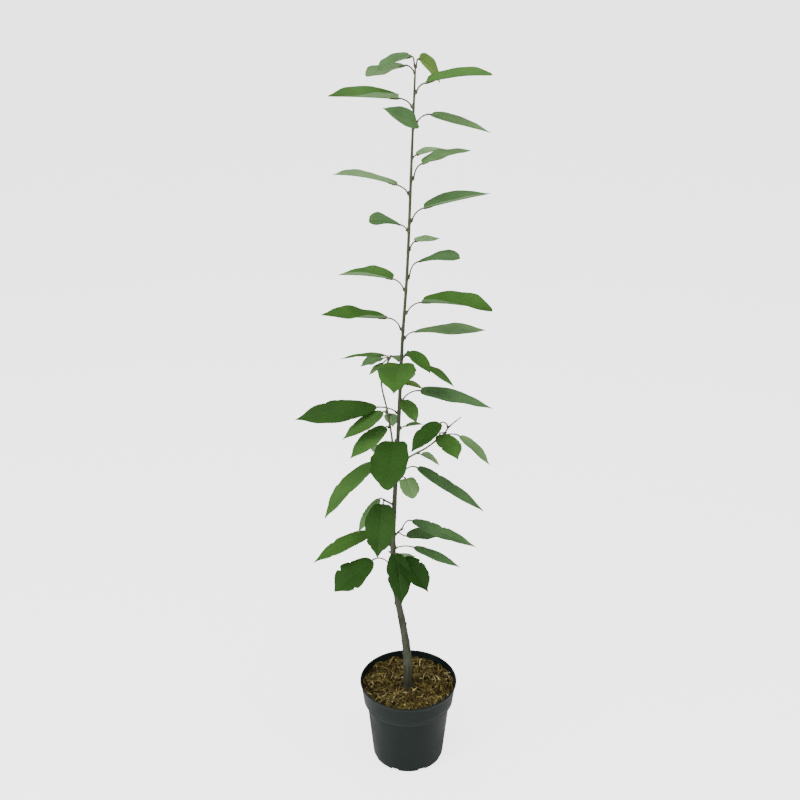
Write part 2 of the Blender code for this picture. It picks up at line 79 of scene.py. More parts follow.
# %% Selecting, copying and finishing
def select_only(*objects):
    """Makes these the only selected objects, the first of them active."""
    bpy.ops.object.select_all(action="DESELECT")
    for obj in objects:
        obj.select_set(True)
    bpy.context.view_layer.objects.active = objects[0] if objects else None


def primitive(add, name, **measures):
    """A primitive from its operator, with its size and place in its mesh."""
    select_only()
    add(**measures)
    obj = bpy.context.object
    obj.name = name
    bpy.ops.object.transform_apply(location=True, rotation=True, scale=True)
    return obj


def apply_modifiers(obj):
    """Applies an object's modifiers in order."""
    select_only(obj)
    for modifier in list(obj.modifiers):
        bpy.ops.object.modifier_apply(modifier=modifier.name)


def face_outwards(obj):
    """Merges doubles and turns every face of a closed mesh outwards."""
    select_only(obj)
    bpy.ops.object.mode_set(mode="EDIT")
    bpy.ops.mesh.select_all(action="SELECT")
    bpy.ops.mesh.remove_doubles(threshold=0.000002)
    bpy.ops.mesh.normals_make_consistent(inside=False)
    bpy.ops.object.mode_set(mode="OBJECT")


def joined(name, objects):
    """Joins objects of one kind into one."""
    select_only(*objects)
    bpy.ops.object.join()
    whole = bpy.context.object
    whole.name = name
    whole.data.name = name
    return whole


def coordinates(mesh):
    """A mesh's points as an array."""
    flat = np.empty(len(mesh.vertices) * 3, np.float32)
    mesh.vertices.foreach_get("co", flat)
    return flat.reshape(-1, 3).astype(float)


def move_points(mesh, points):
    """Gives a mesh its points from an array."""
    mesh.vertices.foreach_set("co", np.asarray(points, np.float32).ravel())
    mesh.update()


def copied(obj, points=None):
    """A copy of an object with its own mesh, and with its points from an array."""
    copy = obj.copy()
    copy.data = obj.data.copy()
    SCENE.collection.objects.link(copy)
    if points is not None:
        move_points(copy.data, points)
    return copy


def from_arrays(name, points, faces, finish):
    """An object whose mesh comes from points and faces."""
    mesh = bpy.data.meshes.new(name)
    mesh.from_pydata(points.reshape(-1, 3).tolist(), [], faces)
    mesh.materials.append(finish)
    obj = bpy.data.objects.new(name, mesh)
    SCENE.collection.objects.link(obj)
    return obj


def settle(obj, crease, nodes=()):
    """Finishes a piece: smooth up to its creases, at the origin, riding on the plant."""
    select_only(obj)
    bpy.ops.object.shade_smooth_by_angle(angle=math.radians(crease))
    bpy.ops.object.transform_apply(location=True, rotation=True, scale=True)
    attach(obj, "root")
    if nodes:
        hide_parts(*nodes)
    obj.data.calc_loop_triangles()
    print(f"{obj.name}: {len(obj.data.loop_triangles)} triangles")


# %% [markdown]
# ## Materials: shared effects
# Living and moulded surfaces are never one flat colour. Three effects are used again and again, so
# each is a node group with named sockets: a slow and a fast drift of tone, a fine grain that bends
# the light, and the side veins of a leaf. The first two read Object coordinates. The veins follow
# the leaf, so they read its own UV map: U runs from foot to tip, V from edge to edge.


# %% Node trees
class Nodes:
    """A node tree in the making, with short ways to add its nodes."""

    def __init__(self, tree):
        self.tree = tree

    def put(self, socket, value):
        """Gives a socket a number, a colour or another socket's value."""
        if isinstance(value, bpy.types.NodeSocket):
            self.tree.links.new(value, socket)
        else:
            socket.default_value = (*value, 1.0) if isinstance(value, tuple) else value

    def fill(self, node, **values):
        """Puts values on a node's named inputs."""
        for title, value in values.items():
            self.put(node.inputs[title.replace("_", " ")], value)
        return node

    def node(self, kind, **values):
        """A new node with its inputs filled."""
        return self.fill(self.tree.nodes.new(f"ShaderNode{kind}"), **values)

    def calc(self, operation, first, second=0.0):
        """A Math node; each value is a number or a socket."""
        node = self.node("Math")
        node.operation = operation
        self.put(node.inputs[0], first)
        self.put(node.inputs[1], second)
        return node.outputs[0]

    def eased(self, value, low, high, to_low=0.0, to_high=1.0):
        """A smooth Map Range node."""
        node = self.node("MapRange", Value=value, From_Min=low, From_Max=high, To_Min=to_low, To_Max=to_high)
        node.interpolation_type = "SMOOTHSTEP"
        return node.outputs["Result"]

    def noise(self, vector, scale, detail):
        """A Noise Texture node."""
        return self.node("TexNoise", Vector=vector, Scale=scale, Detail=detail).outputs["Fac"]


def new_group(name, inputs, outputs):
    """A node group in the making, what it is given and what it gives; None stands for a vector."""
    tree = bpy.data.node_groups.new(name, "ShaderNodeTree")
    for in_out, sockets in (("INPUT", inputs), ("OUTPUT", outputs)):
        for title, value in sockets.items():
            kind = "NodeSocketVector" if value is None else "NodeSocketFloat"
            socket = tree.interface.new_socket(title, in_out=in_out, socket_type=kind)
            if value is not None:
                socket.default_value = value
    given = tree.nodes.new("NodeGroupInput").outputs
    gives = tree.nodes.new("NodeGroupOutput").inputs
    return Nodes(tree), given, gives


# %% Node groups
def make_tone_drift():
    """Two masks: broad clouds and fine specks."""
    nodes, given, gives = new_group(
        "tone drift", {"Vector": None, "Broad Scale": 12.0, "Fine Scale": 220.0}, {"Broad": 0.0, "Fine": 0.0}
    )
    broad = nodes.noise(given["Vector"], given["Broad Scale"], 3.0)
    fine = nodes.noise(given["Vector"], given["Fine Scale"], 2.0)
    nodes.put(gives["Broad"], nodes.eased(broad, 0.32, 0.68))
    nodes.put(gives["Fine"], nodes.eased(fine, 0.35, 0.65))
    return nodes.tree


def make_fine_grain():
    """A normal that is bent by a fine noise."""
    nodes, given, gives = new_group(
        "fine grain", {"Vector": None, "Scale": 900.0, "Strength": 0.3, "Depth": 0.0002}, {"Normal": None}
    )
    height = nodes.noise(given["Vector"], given["Scale"], 3.0)
    bump = nodes.node("Bump", Height=height, Strength=given["Strength"], Distance=given["Depth"])
    nodes.put(gives["Normal"], bump.outputs["Normal"])
    return nodes.tree


def make_leaf_veins():
    """A mask on a leaf's UV map: the side veins as thin lines that fade towards the margin."""
    nodes, given, gives = new_group("leaf veins", {"UV": None, "Pairs": 9.0, "Slant": 2.2}, {"Veins": 0.0})
    split = nodes.node("SeparateXYZ", Vector=given["UV"]).outputs
    centred = nodes.calc("SUBTRACT", split["Y"], 0.5)
    aside = nodes.calc("MULTIPLY", nodes.calc("ABSOLUTE", centred), 2.0)
    along = nodes.calc("MULTIPLY", split["X"], given["Pairs"])
    back = nodes.calc("MULTIPLY", aside, given["Slant"])
    phase = nodes.calc("FRACT", nodes.calc("SUBTRACT", along, back))
    off = nodes.calc("ABSOLUTE", nodes.calc("SUBTRACT", phase, 0.5))
    fade = nodes.eased(aside, 0.55, 1.0, 1.0, 0.15)
    nodes.put(gives["Veins"], nodes.calc("MULTIPLY", nodes.eased(off, 0.43, 0.5), fade))
    return nodes.tree


TONE_DRIFT = make_tone_drift()
FINE_GRAIN = make_fine_grain()
LEAF_VEINS = make_leaf_veins()
print("node groups:", [group.name for group in bpy.data.node_groups])


# %% Building blocks of a material
class Finish(Nodes):
    """A material in the making: its tree, its shader and the coordinates that it reads."""

    def __init__(self, name, roughness, specular=0.5):
        self.made = bpy.data.materials.new(name)
        self.made.use_nodes = True
        super().__init__(self.made.node_tree)
        self.shader = self.tree.nodes["Principled BSDF"]
        self.fill(self.shader, Roughness=roughness, Specular_IOR_Level=specular)
        self.place = self.node("TexCoord").outputs["Object"]

    def use(self, title, value):
        """Puts a value on one of the shader's sockets."""
        self.put(self.shader.inputs[title], value)

    def group(self, group, **values):
        """One of the shared groups, with its inputs filled."""
        node = self.node("Group")
        node.node_tree = group
        return self.fill(node, **values).outputs

    def drift(self, broad, fine, place=None):
        """The two masks of the tone drift at their scales."""
        return self.group(TONE_DRIFT, Vector=place or self.place, Broad_Scale=broad, Fine_Scale=fine)

    def height(self):
        """The height over the pot's underside."""
        return self.node("SeparateXYZ", Vector=self.place).outputs["Z"]

    def mixed(self, mask, first, second, share=None):
        """A colour between two others by a mask, or by a share of it."""
        if share is not None:
            mask = self.calc("MULTIPLY", mask, share)
        node = self.node("Mix")
        node.data_type = "RGBA"
        for index, value in ((0, mask), (6, first), (7, second)):
            self.put(node.inputs[index], value)
        return node.outputs[2]

    def veined(self, colour, line, share):
        """A leaf's colour with its side veins in another."""
        node = self.node("UVMap")
        node.uv_map = "UVMap"
        return self.mixed(self.group(LEAF_VEINS, UV=node.outputs["UV"])["Veins"], colour, line, share)

    def grain(self, scale, strength, depth, place=None):
        """Gives the surface a fine grain."""
        place = place or self.place
        out = self.group(FINE_GRAIN, Vector=place, Scale=scale, Strength=strength, Depth=depth)
        self.use("Normal", out["Normal"])


def shade(colour, factor):
    """A colour made lighter or darker."""
    return tuple(min(channel * factor, 1.0) for channel in colour)


# %% [markdown]
# ## Leaf finishes
# The upper side of the leaf is a deep, nearly matt green with slightly paler side veins. The
# underside is duller, paler and greyer. Leaves on one plant differ a lot: old ones are darker and
# the last ones to open are pale yellow-green. The palette also holds painted light: its darkest
# greens are painted shade for the leaves in the shade at the foot and at the back, and its paler,
# greyer greens paint the light that leaves catch from below. So there is a small palette, and
# each leaf later takes one of its greens.


# %% Leaf materials
def upper_side(name, colour):
    """The upper side of a leaf."""
    finish = Finish(name, 0.50, 0.08)
    drift = finish.drift(28.0, 700.0)
    green = finish.mixed(drift["Broad"], shade(colour, 0.86), shade(colour, 1.13))
    green = finish.mixed(drift["Fine"], green, shade(colour, 0.72), 0.25)
    finish.use("Base Color", finish.veined(green, shade(colour, 1.40), 0.22))
    finish.use("Roughness", finish.eased(drift["Broad"], 0.0, 1.0, 0.45, 0.57))
    finish.grain(1500.0, 0.25, 0.00012)
    return finish.made


def under_side(name, colour):
    """The underside of a leaf."""
    finish = Finish(name, 0.62, 0.15)
    green = finish.mixed(finish.drift(30.0, 650.0)["Broad"], shade(colour, 0.92), shade(colour, 1.08))
    finish.use("Base Color", finish.veined(green, shade(colour, 1.25), 0.45))
    finish.grain(1100.0, 0.3, 0.00015)
    return finish.made


def rib_finish(name, colour):
    """The midrib, smooth and nearly matt."""
    finish = Finish(name, 0.52, 0.12)
    drift = finish.drift(40.0, 500.0)
    finish.use("Base Color", finish.mixed(drift["Broad"], shade(colour, 0.85), shade(colour, 1.12)))
    return finish.made


# The darkest greens here are partly painted shade, and the palest, greyest ones partly painted light from
# below.
GREENS = {
    "shaded": (0.021, 0.066, 0.010),
    "old": (0.028, 0.080, 0.013),
    "deep": (0.050, 0.130, 0.022),
    "fresh": (0.066, 0.158, 0.034),
    "dull": (0.085, 0.176, 0.063),
    "light": (0.130, 0.245, 0.090),
    "pale": (0.185, 0.325, 0.125),
    "bleached": (0.250, 0.430, 0.185),
    "young": (0.138, 0.245, 0.052),
}
DARK_GREENS = ("shaded", "old", "deep")
# Leaves with the darkest greens take the darker underside, which is partly painted shade too.
UNDERSIDES = {
    kind: (under_side(f"leaf_under_{kind}", green), rib_finish(f"leaf_rib_under_{kind}", rib))
    for kind, green, rib in (
        ("dark", (0.150, 0.270, 0.112), (0.17, 0.28, 0.12)),
        ("pale", (0.200, 0.356, 0.146), (0.23, 0.38, 0.15)),
    )
}
LEAF_SET = {}
for tone, green in GREENS.items():
    under, rib_under = UNDERSIDES["dark" if tone in DARK_GREENS else "pale"]
    rib = rib_finish(f"leaf_rib_{tone}", shade(green, 1.08))
    LEAF_SET[tone] = (upper_side(f"leaf_upper_{tone}", green), under, rib, rib_under)
print("leaf tones:", list(LEAF_SET))

# %% [markdown]
# ## Wood, stalk, soil and plastic finishes
# A one-year stem is smooth and green above and turns grey-olive and rougher near the soil, so its
# colour is mixed by height. Stalks are olive with a brown blush. The pot is a dark, slightly green
# plastic with a soft sheen, and a thin painted highlight runs along the lower edge of the ledge.
# Mulch is sorted by tone: each fibre takes one of four plain tones.


# %% Wood and stalk materials
def stem_bark():
    """The stem: grey-olive and streaked at the foot, green and smooth towards the tip."""
    finish = Finish("stem_bark", 0.55, 0.35)
    height = finish.height()
    stretched = finish.node("Mapping", Vector=finish.place)
    stretched.inputs["Scale"].default_value = (1.0, 1.0, 0.10)
    streaks = stretched.outputs["Vector"]
    drift = finish.drift(210.0, 1100.0, streaks)["Broad"]
    blotch = finish.drift(30.0, 160.0)
    foot = finish.mixed(drift, (0.023, 0.027, 0.016), (0.078, 0.086, 0.055))
    middle = finish.mixed(drift, (0.030, 0.040, 0.018), (0.080, 0.100, 0.045))
    tip = finish.mixed(blotch["Broad"], (0.040, 0.060, 0.022), (0.070, 0.100, 0.038))
    foot = finish.mixed(finish.eased(height, 0.150, 0.200), (0.020, 0.021, 0.010), foot)
    low = finish.mixed(finish.eased(height, 0.26, 0.52), foot, middle)
    bark = finish.mixed(finish.eased(height, 0.60, 1.00), low, tip)
    finish.use("Base Color", finish.mixed(blotch["Fine"], bark, (0.035, 0.034, 0.018), 0.30))
    finish.use("Roughness", finish.eased(height, 0.15, 0.60, 0.72, 0.46))
    finish.grain(800.0, 0.5, 0.0003, streaks)
    return finish.made


def soft_wood(name, dark, light, roughness):
    """A thin green shoot, a leaf stalk or a bud."""
    finish = Finish(name, roughness)
    drift = finish.drift(60.0, 900.0)
    colour = finish.mixed(drift["Broad"], dark, light)
    finish.use("Base Color", finish.mixed(drift["Fine"], colour, shade(dark, 0.6), 0.12))
    finish.grain(1400.0, 0.15, 0.00010)
    return finish.made


STEM_BARK = stem_bark()
SHOOT_BARK = soft_wood("shoot_bark", (0.085, 0.100, 0.035), (0.130, 0.170, 0.055), 0.5)
STALK_SKIN = soft_wood("stalk_skin", (0.052, 0.046, 0.027), (0.085, 0.086, 0.044), 0.55)
BUD_SCALE = soft_wood("bud_scale", (0.060, 0.040, 0.022), (0.110, 0.080, 0.045), 0.6)

# %% Pot and mulch materials
# The height of the painted highlight along the ledge's lower edge, and its half width.
LEDGE_HIGHLIGHT = 0.1158
LEDGE_HIGHLIGHT_WIDTH = 0.0011


def pot_plastic():
    """Recycled nursery plastic: near black with a green cast, dust in soft clouds, a satin face."""
    finish = Finish("pot_plastic", 0.46, 0.19)
    drift = finish.drift(16.0, 420.0)
    base = finish.mixed(drift["Broad"], (0.0050, 0.0105, 0.0088), (0.0080, 0.0148, 0.0126))
    base = finish.mixed(drift["Fine"], base, (0.055, 0.060, 0.052), 0.05)
    # A thin painted highlight: a paler colour in a band along the ledge's lower edge.
    off = finish.calc("ABSOLUTE", finish.calc("SUBTRACT", finish.height(), LEDGE_HIGHLIGHT))
    painted_highlight = finish.eased(off, 0.0, LEDGE_HIGHLIGHT_WIDTH, 1.0, 0.0)
    finish.use("Base Color", finish.mixed(painted_highlight, base, (0.060, 0.082, 0.074), 0.75))
    finish.use("Roughness", finish.eased(drift["Broad"], 0.0, 1.0, 0.38, 0.50))
    finish.grain(1300.0, 0.22, 0.00012)
    return finish.made


def matt_matter(name, colour, contrast=0.35):
    """Soil or mulch of one tone."""
    finish = Finish(name, 0.88, 0.2)
    drift = finish.drift(140.0, 900.0)
    tone = finish.mixed(drift["Broad"], shade(colour, 1.0 - contrast), shade(colour, 1.0 + contrast))
    finish.use("Base Color", finish.mixed(drift["Fine"], tone, shade(colour, 0.5), 0.35))
    finish.grain(1600.0, 0.6, 0.0003)
    return finish.made


POT_PLASTIC = pot_plastic()
SOIL = matt_matter("potting_soil", (0.014, 0.010, 0.006), 0.4)
MULCH_TONES = [
    matt_matter(f"mulch_{tone}", colour)
    for tone, colour in (
        ("umber", (0.028, 0.020, 0.006)),
        ("tan", (0.082, 0.060, 0.015)),
        ("gold", (0.180, 0.136, 0.038)),
        ("straw", (0.390, 0.325, 0.155)),
    )
]
print("materials:", len(bpy.data.materials))

# %% [markdown]
# ## The plant's rule
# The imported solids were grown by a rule: a limb is a smooth line through stations of height, place
# and thickness, and a leaf hangs on a stalk at a height and a turn. The visual leaves follow the
# same rule with the same sizes, so every blade lies where its solid lies.

# %% Limbs
GROUND_HEIGHT = 0.1440
GAP = 0.0003
TRUNK_STATIONS = (
    (GROUND_HEIGHT + GAP, -0.0010, -0.0110, 0.0210),
    (0.1540, -0.0010, -0.0110, 0.0166),
    (0.2180, -0.0030, -0.0050, 0.0140),
    (0.2730, -0.0105, -0.0012, 0.0121),
    (0.3270, -0.0197, 0.0015, 0.0108),
    (0.4170, -0.0264, 0.0020, 0.0091),
    (0.5120, -0.0235, 0.0012, 0.0076),
    (0.6420, -0.0172, 0.0000, 0.0061),
    (0.7850, -0.0113, -0.0012, 0.0051),
    (0.9030, -0.0039, -0.0010, 0.0046),
    (1.0670, 0.0020, 0.0005, 0.0040),
    (1.1830, 0.0062, 0.0015, 0.0029),
)
RIGHT_SHOOT_STATIONS = (
    (0.5770, -0.0120, -0.0030, 0.0036),
    (0.6156, 0.0314, -0.0110, 0.0030),
    (0.6396, 0.0548, -0.0160, 0.0026),
    (0.6522, 0.0622, -0.0180, 0.0024),
    (0.6703, 0.0795, -0.0220, 0.0014),
)
LEFT_SHOOT_STATIONS = (
    (0.5750, -0.0258, -0.0035, 0.0036),
    (0.6230, -0.0270, -0.0080, 0.0034),
    (0.6798, -0.0351, -0.0120, 0.0030),
    (0.7243, -0.0437, -0.0130, 0.0026),
    (0.7463, -0.0400, -0.0120, 0.0025),
    (0.7600, -0.0330, -0.0105, 0.0024),
)


def heading(turn):
    """The level unit vector of a turn."""
    angle = math.radians(turn)
    return Vector((math.cos(angle), math.sin(angle), 0.0))


class Limb:
    """A tapering limb: a smooth line through its stations, read by height."""

    def __init__(self, stations):
        self.stations = stations
        self.foot = stations[0][0]
        self.top = stations[-1][0]

    def slope(self, index, value):
        """The line's slope at a station: level with the neighbours, upright at the foot."""
        if index == 0:
            return 0.0
        after = min(index + 1, len(self.stations) - 1)
        low, high = self.stations[index - 1], self.stations[after]
        return (high[value] - low[value]) / (high[0] - low[0])

    def read(self, height, value):
        """One value of the line at a height, by a cubic between two stations."""
        height = min(max(height, self.foot), self.top)
        index = 0
        while index < len(self.stations) - 2 and height > self.stations[index + 1][0]:
            index += 1
        low, high = self.stations[index], self.stations[index + 1]
        span = high[0] - low[0]
        t = (height - low[0]) / span
        rise = self.slope(index, value) * span
        fall = self.slope(index + 1, value) * span
        return (
            low[value] * (2 * t**3 - 3 * t**2 + 1)
            + rise * (t**3 - 2 * t**2 + t)
            + high[value] * (3 * t**2 - 2 * t**3)
            + fall * (t**3 - t**2)
        )

    def centre(self, height):
        """The limb's middle at a height."""
        height = min(max(height, self.foot), self.top)
        return Vector((self.read(height, 1), self.read(height, 2), height))

    def radius(self, height):
        """Half the limb's diameter at a height."""
        return self.read(height, 3) / 2.0

    def direction(self, height):
        """The limb's own direction at a height."""
        step = 0.001
        return (self.centre(height + step) - self.centre(height - step)).normalized()


LIMBS = {
    "trunk": Limb(TRUNK_STATIONS),
    "right_shoot": Limb(RIGHT_SHOOT_STATIONS),
    "left_shoot": Limb(LEFT_SHOOT_STATIONS),
}
TRUNK = LIMBS["trunk"]
print("stem height:", round(TRUNK.top - TRUNK.foot, 3), "m")

# %% [markdown]
# ## Leaf rows
# A leaf is told by its height on the limb, the turn of its stalk, how far out and up the blade
# begins, and the blade's length, slope, roll and outline. The leader's leaves follow the usual
# spiral from the tip down, and the lower ones stand close together. Leaves that share a short
# shoot are told as one spray.

# %% Leaf rows
FOLD = 10.0
DROOP = 18.0


@dataclass
class Leaf:
    """One leaf: where its stalk leaves the limb, where the blade begins and how it lies.

    reach and lift are the horizontal and vertical distances from the stalk's start to the
    blade's base. pitch is the slope of the straight line from base to tip, swing turns the
    blade away from its stalk's direction, breadth is the width over the length, and widest
    is the share of the length where the blade is widest. full is under 1 for a blunt blade.
    bow curves the midrib to the left, and twist is how much the roll grows from base to tip.
    """

    height: float
    turn: float
    reach: float
    lift: float
    length: float
    pitch: float = 0.0
    roll: float = 0.0
    breadth: float = 0.44
    swing: float = 0.0
    fold: float = FOLD
    droop: float = DROOP
    widest: float = 0.42
    full: float = 1.0
    bow: float = 0.0
    twist: float = 0.0


# The leader's leaves, from the top down, one node each
LEADER_LEAVES = (
    Leaf(1.161, 335, 0.0145, 0.0140, 0.101, 9, roll=15, fold=14, widest=0.34, full=0.5),
    Leaf(
        1.141, 190, 0.0196, 0.0126, 0.101, 3, roll=8, fold=35,
        breadth=0.39, droop=4, widest=0.38, full=0.7, twist=-38,
    ),
    Leaf(1.112, 290, 0.014, 0.0120, 0.072, 21, swing=-65, roll=-52, breadth=0.46, droop=-12, widest=0.28),
    Leaf(1.115, 345, 0.024, 0.0170, 0.090, -14, roll=12, breadth=0.29, droop=8, widest=0.32),
    Leaf(1.070, 56, 0.012, 0.0020, 0.080, -3, roll=6, breadth=0.27),
    Leaf(1.039, 10, 0.014, 0.0220, 0.074, 13, fold=16, breadth=0.56, full=0.7),
    Leaf(1.017, 155, 0.020, 0.0120, 0.106, 3, roll=18, fold=20, breadth=0.36, droop=14, full=0.8),
    Leaf(0.977, 10, 0.019, 0.0190, 0.102, 10, fold=30, breadth=0.43, droop=5),
    Leaf(0.963, 150, 0.012, 0.0070, 0.048, 7, swing=22, roll=-32, widest=0.86, breadth=0.60, full=0.35),
    Leaf(0.933, 48, 0.014, 0.0110, 0.058, -7, roll=8, breadth=0.40),
    Leaf(0.890, 32, 0.018, 0.0230, 0.064, 4, swing=-24, roll=16, widest=0.84, breadth=0.56, full=0.35),
    Leaf(0.871, 147, 0.021, 0.0140, 0.104, -6, roll=2, fold=28, breadth=0.40, droop=14),
    Leaf(
        0.835, 350, 0.024, 0.0190, 0.108, -4, roll=-6, fold=30,
        breadth=0.44, widest=0.48, full=0.55, twist=34,
    ),
    Leaf(0.809, 195, 0.023, 0.0205, 0.102, 8, roll=12, fold=28, breadth=0.46, droop=-5, full=0.8, twist=-34),
    Leaf(0.794, 15, 0.016, 0.0095, 0.117, -4, fold=6, breadth=0.44, widest=0.60),
    Leaf(0.690, 355, 0.029, 0.0180, 0.118, -13, roll=8, fold=6, breadth=0.32, widest=0.35),
    Leaf(0.669, 190, 0.032, 0.0120, 0.130, -5, roll=-20, fold=6, breadth=0.38, droop=10, widest=0.52),
)

# Single leaves of the lower stem
LOWER_LEAVES = (
    Leaf(0.757, 264, 0.016, 0.0030, 0.090, -8, breadth=0.66),
    Leaf(0.713, 35, 0.010, 0.0020, 0.034, -25, roll=15, breadth=0.60),
    Leaf(0.641, 20, 0.010, 0.0030, 0.030, -4),
    Leaf(0.605, 264, 0.032, 0.0300, 0.108, -17, breadth=0.54, widest=0.50, full=0.5, bow=-0.10),
    Leaf(0.553, 345, 0.032, 0.0230, 0.128, -30, roll=8, fold=6, breadth=0.24, droop=8, full=0.8),
    Leaf(0.560, 205, 0.034, 0.0260, 0.120, -42, roll=-4, breadth=0.34, droop=34, full=0.8),
    Leaf(0.549, 322, 0.016, 0.0090, 0.036, -44, swing=-22, breadth=0.95, full=0.5),
    Leaf(0.427, 200, 0.033, 0.0300, 0.108, -20, roll=-12, breadth=0.32, droop=24),
    Leaf(0.386, 215, 0.038, 0.0260, 0.082, -24, roll=-12, breadth=0.66, widest=0.56, full=0.8),
    Leaf(0.421, 345, 0.031, 0.0060, 0.084, -18, roll=10, breadth=0.28, droop=6),
)

# Single leaves of the two side shoots
RIGHT_SHOOT_LEAVES = (
    Leaf(0.652, 215, 0.016, 0.0110, 0.066, -32, breadth=0.62),
    Leaf(0.641, 240, 0.015, 0.0035, 0.060, -18, swing=58, breadth=0.66, widest=0.46),
    Leaf(0.640, 330, 0.026, 0.0030, 0.066, -35, breadth=0.34),
    Leaf(0.602, 20, 0.007, -0.0040, 0.042, -40, roll=20, breadth=0.50, droop=50),
)
LEFT_SHOOT_LEAVES = (
    Leaf(0.676, 205, 0.006, 0.0010, 0.077, -26, roll=-10, breadth=0.42, droop=6),
    Leaf(0.649, 215, 0.006, 0.0020, 0.078, -28, roll=-10, breadth=0.48, droop=14),
    Leaf(0.662, 82, 0.012, 0.0040, 0.046, -52, breadth=0.50),
)

# Leaves that hang at the back of the lower stem
BACK_LEAVES = (
    Leaf(0.728, 84, 0.020, 0.0060, 0.080, -38, breadth=0.50),
    Leaf(0.600, 112, 0.020, 0.0060, 0.086, -38, breadth=0.48),
    Leaf(0.478, 104, 0.014, 0.0020, 0.076, -52, breadth=0.42),
    Leaf(0.386, 76, 0.022, 0.0080, 0.084, -42, breadth=0.54),
)


@dataclass
class Spray:
    """Leaves on one short shoot, fused into one mass.

    The short shoot leaves its limb at height, or goes on from the limb's tip, and ends
    reach out and lift up from there. Its leaves' heights run along it, from its foot.
    """

    limb: str
    height: float
    turn: float
    reach: float
    lift: float
    leaves: tuple


TIP = 9.0  # a height above any limb: the short shoot goes on from the limb's tip
SPRAYS = {
    "top_tuft": Spray("trunk", TIP, 0, 0.0006, 0.0145, (
        Leaf(
            0.0140, 200, 0.0070, 0.0132, 0.053, -19,
            roll=-6, fold=37, breadth=0.60, widest=0.46, full=0.65, droop=14, twist=-8,
        ),
        Leaf(0.004, 152, 0.0162, 0.0098, 0.065, -17, roll=20, breadth=0.58, widest=0.64, full=0.5),
        Leaf(
            0.0122, 38, 0.0066, 0.0106, 0.054, -43,
            roll=54, fold=20, breadth=0.64, widest=0.42, full=0.85, droop=40,
        ),
    )),
    "left_rosette": Spray("left_shoot", TIP, 20, 0.0030, 0.0060, (
        Leaf(0.007, 160, 0.010, 0.0030, 0.076, -12, breadth=0.28),
        Leaf(0.006, 200, 0.012, 0.0010, 0.037, -14, breadth=0.80),
        Leaf(0.005, 205, 0.012, -0.0060, 0.028, -34, breadth=0.60),
        Leaf(0.007, 75, 0.010, 0.0000, 0.052, -32),
    )),
    "middle_spur": Spray("trunk", 0.764, 350, 0.0040, 0.0050, (
        Leaf(0.006, 335, 0.0050, 0.0060, 0.056, -22, swing=-25, breadth=0.50),
        Leaf(0.004, 345, 0.0330, -0.0160, 0.054, -32, breadth=0.48, full=0.8),
    )),
    "front_spur": Spray("trunk", 0.685, 316, 0.0040, 0.0040, (
        Leaf(0.005, 290, 0.006, 0.0070, 0.060, -15, breadth=0.44),
    )),
    "left_spur": Spray("trunk", 0.505, 200, 0.0145, 0.0100, (
        Leaf(0.018, 261, 0.011, -0.0010, 0.088, -50, breadth=0.58, full=0.8),
        Leaf(0.016, 195, 0.008, 0.0040, 0.070, -58, roll=-60, breadth=0.25),
    )),
    "foot_spur": Spray("trunk", 0.402, 300, 0.0060, 0.0080, (
        Leaf(0.009, 262, 0.012, 0.0130, 0.086, -46, swing=18, breadth=0.50),
        Leaf(0.007, 312, 0.016, 0.0050, 0.073, -30, breadth=0.62),
    )),
    "right_spur": Spray("trunk", 0.447, 0, 0.0100, 0.0100, (
        Leaf(0.013, 345, 0.018, 0.0190, 0.114, -17, roll=8, breadth=0.26, droop=4),
        Leaf(0.004, 10, 0.015, -0.0078, 0.072, -4, roll=12, breadth=0.42),
    )),
}
SINGLE_LEAVES = (
    ("leader_leaf", "trunk", LEADER_LEAVES),
    ("lower_leaf", "trunk", LOWER_LEAVES),
    ("right_shoot_leaf", "right_shoot", RIGHT_SHOOT_LEAVES),
    ("left_shoot_leaf", "left_shoot", LEFT_SHOOT_LEAVES),
    ("back_leaf", "trunk", BACK_LEAVES),
)
print("single leaves:", sum(len(leaves) for kind, limb, leaves in SINGLE_LEAVES))

# %% [markdown]
# ## Where a leaf lies
# A blade's midrib is an arc in an upright plane, bowed a little aside, and both halves rise from
# it. The breadth swells to one widest place and closes at foot and tip. A leaf whose blade would
# touch a limb is left out, as in the solids.


# %% The blade's rule
CLEAR_OF_LIMB = 0.004
CHECK_STATIONS = 7


def breadth_at(along, widest, full):
    """A blade's half width at a share of its length, where the widest place counts 1."""
    power = math.log(0.5) / math.log(widest)
    body = math.sin(math.pi * along**power) ** (0.8 * full) if 0.0 < along < 1.0 else 0.0
    point = 1.0 - 0.35 * max(0.0, (along - 0.75) / 0.25)
    return max(body * point, 0.02)


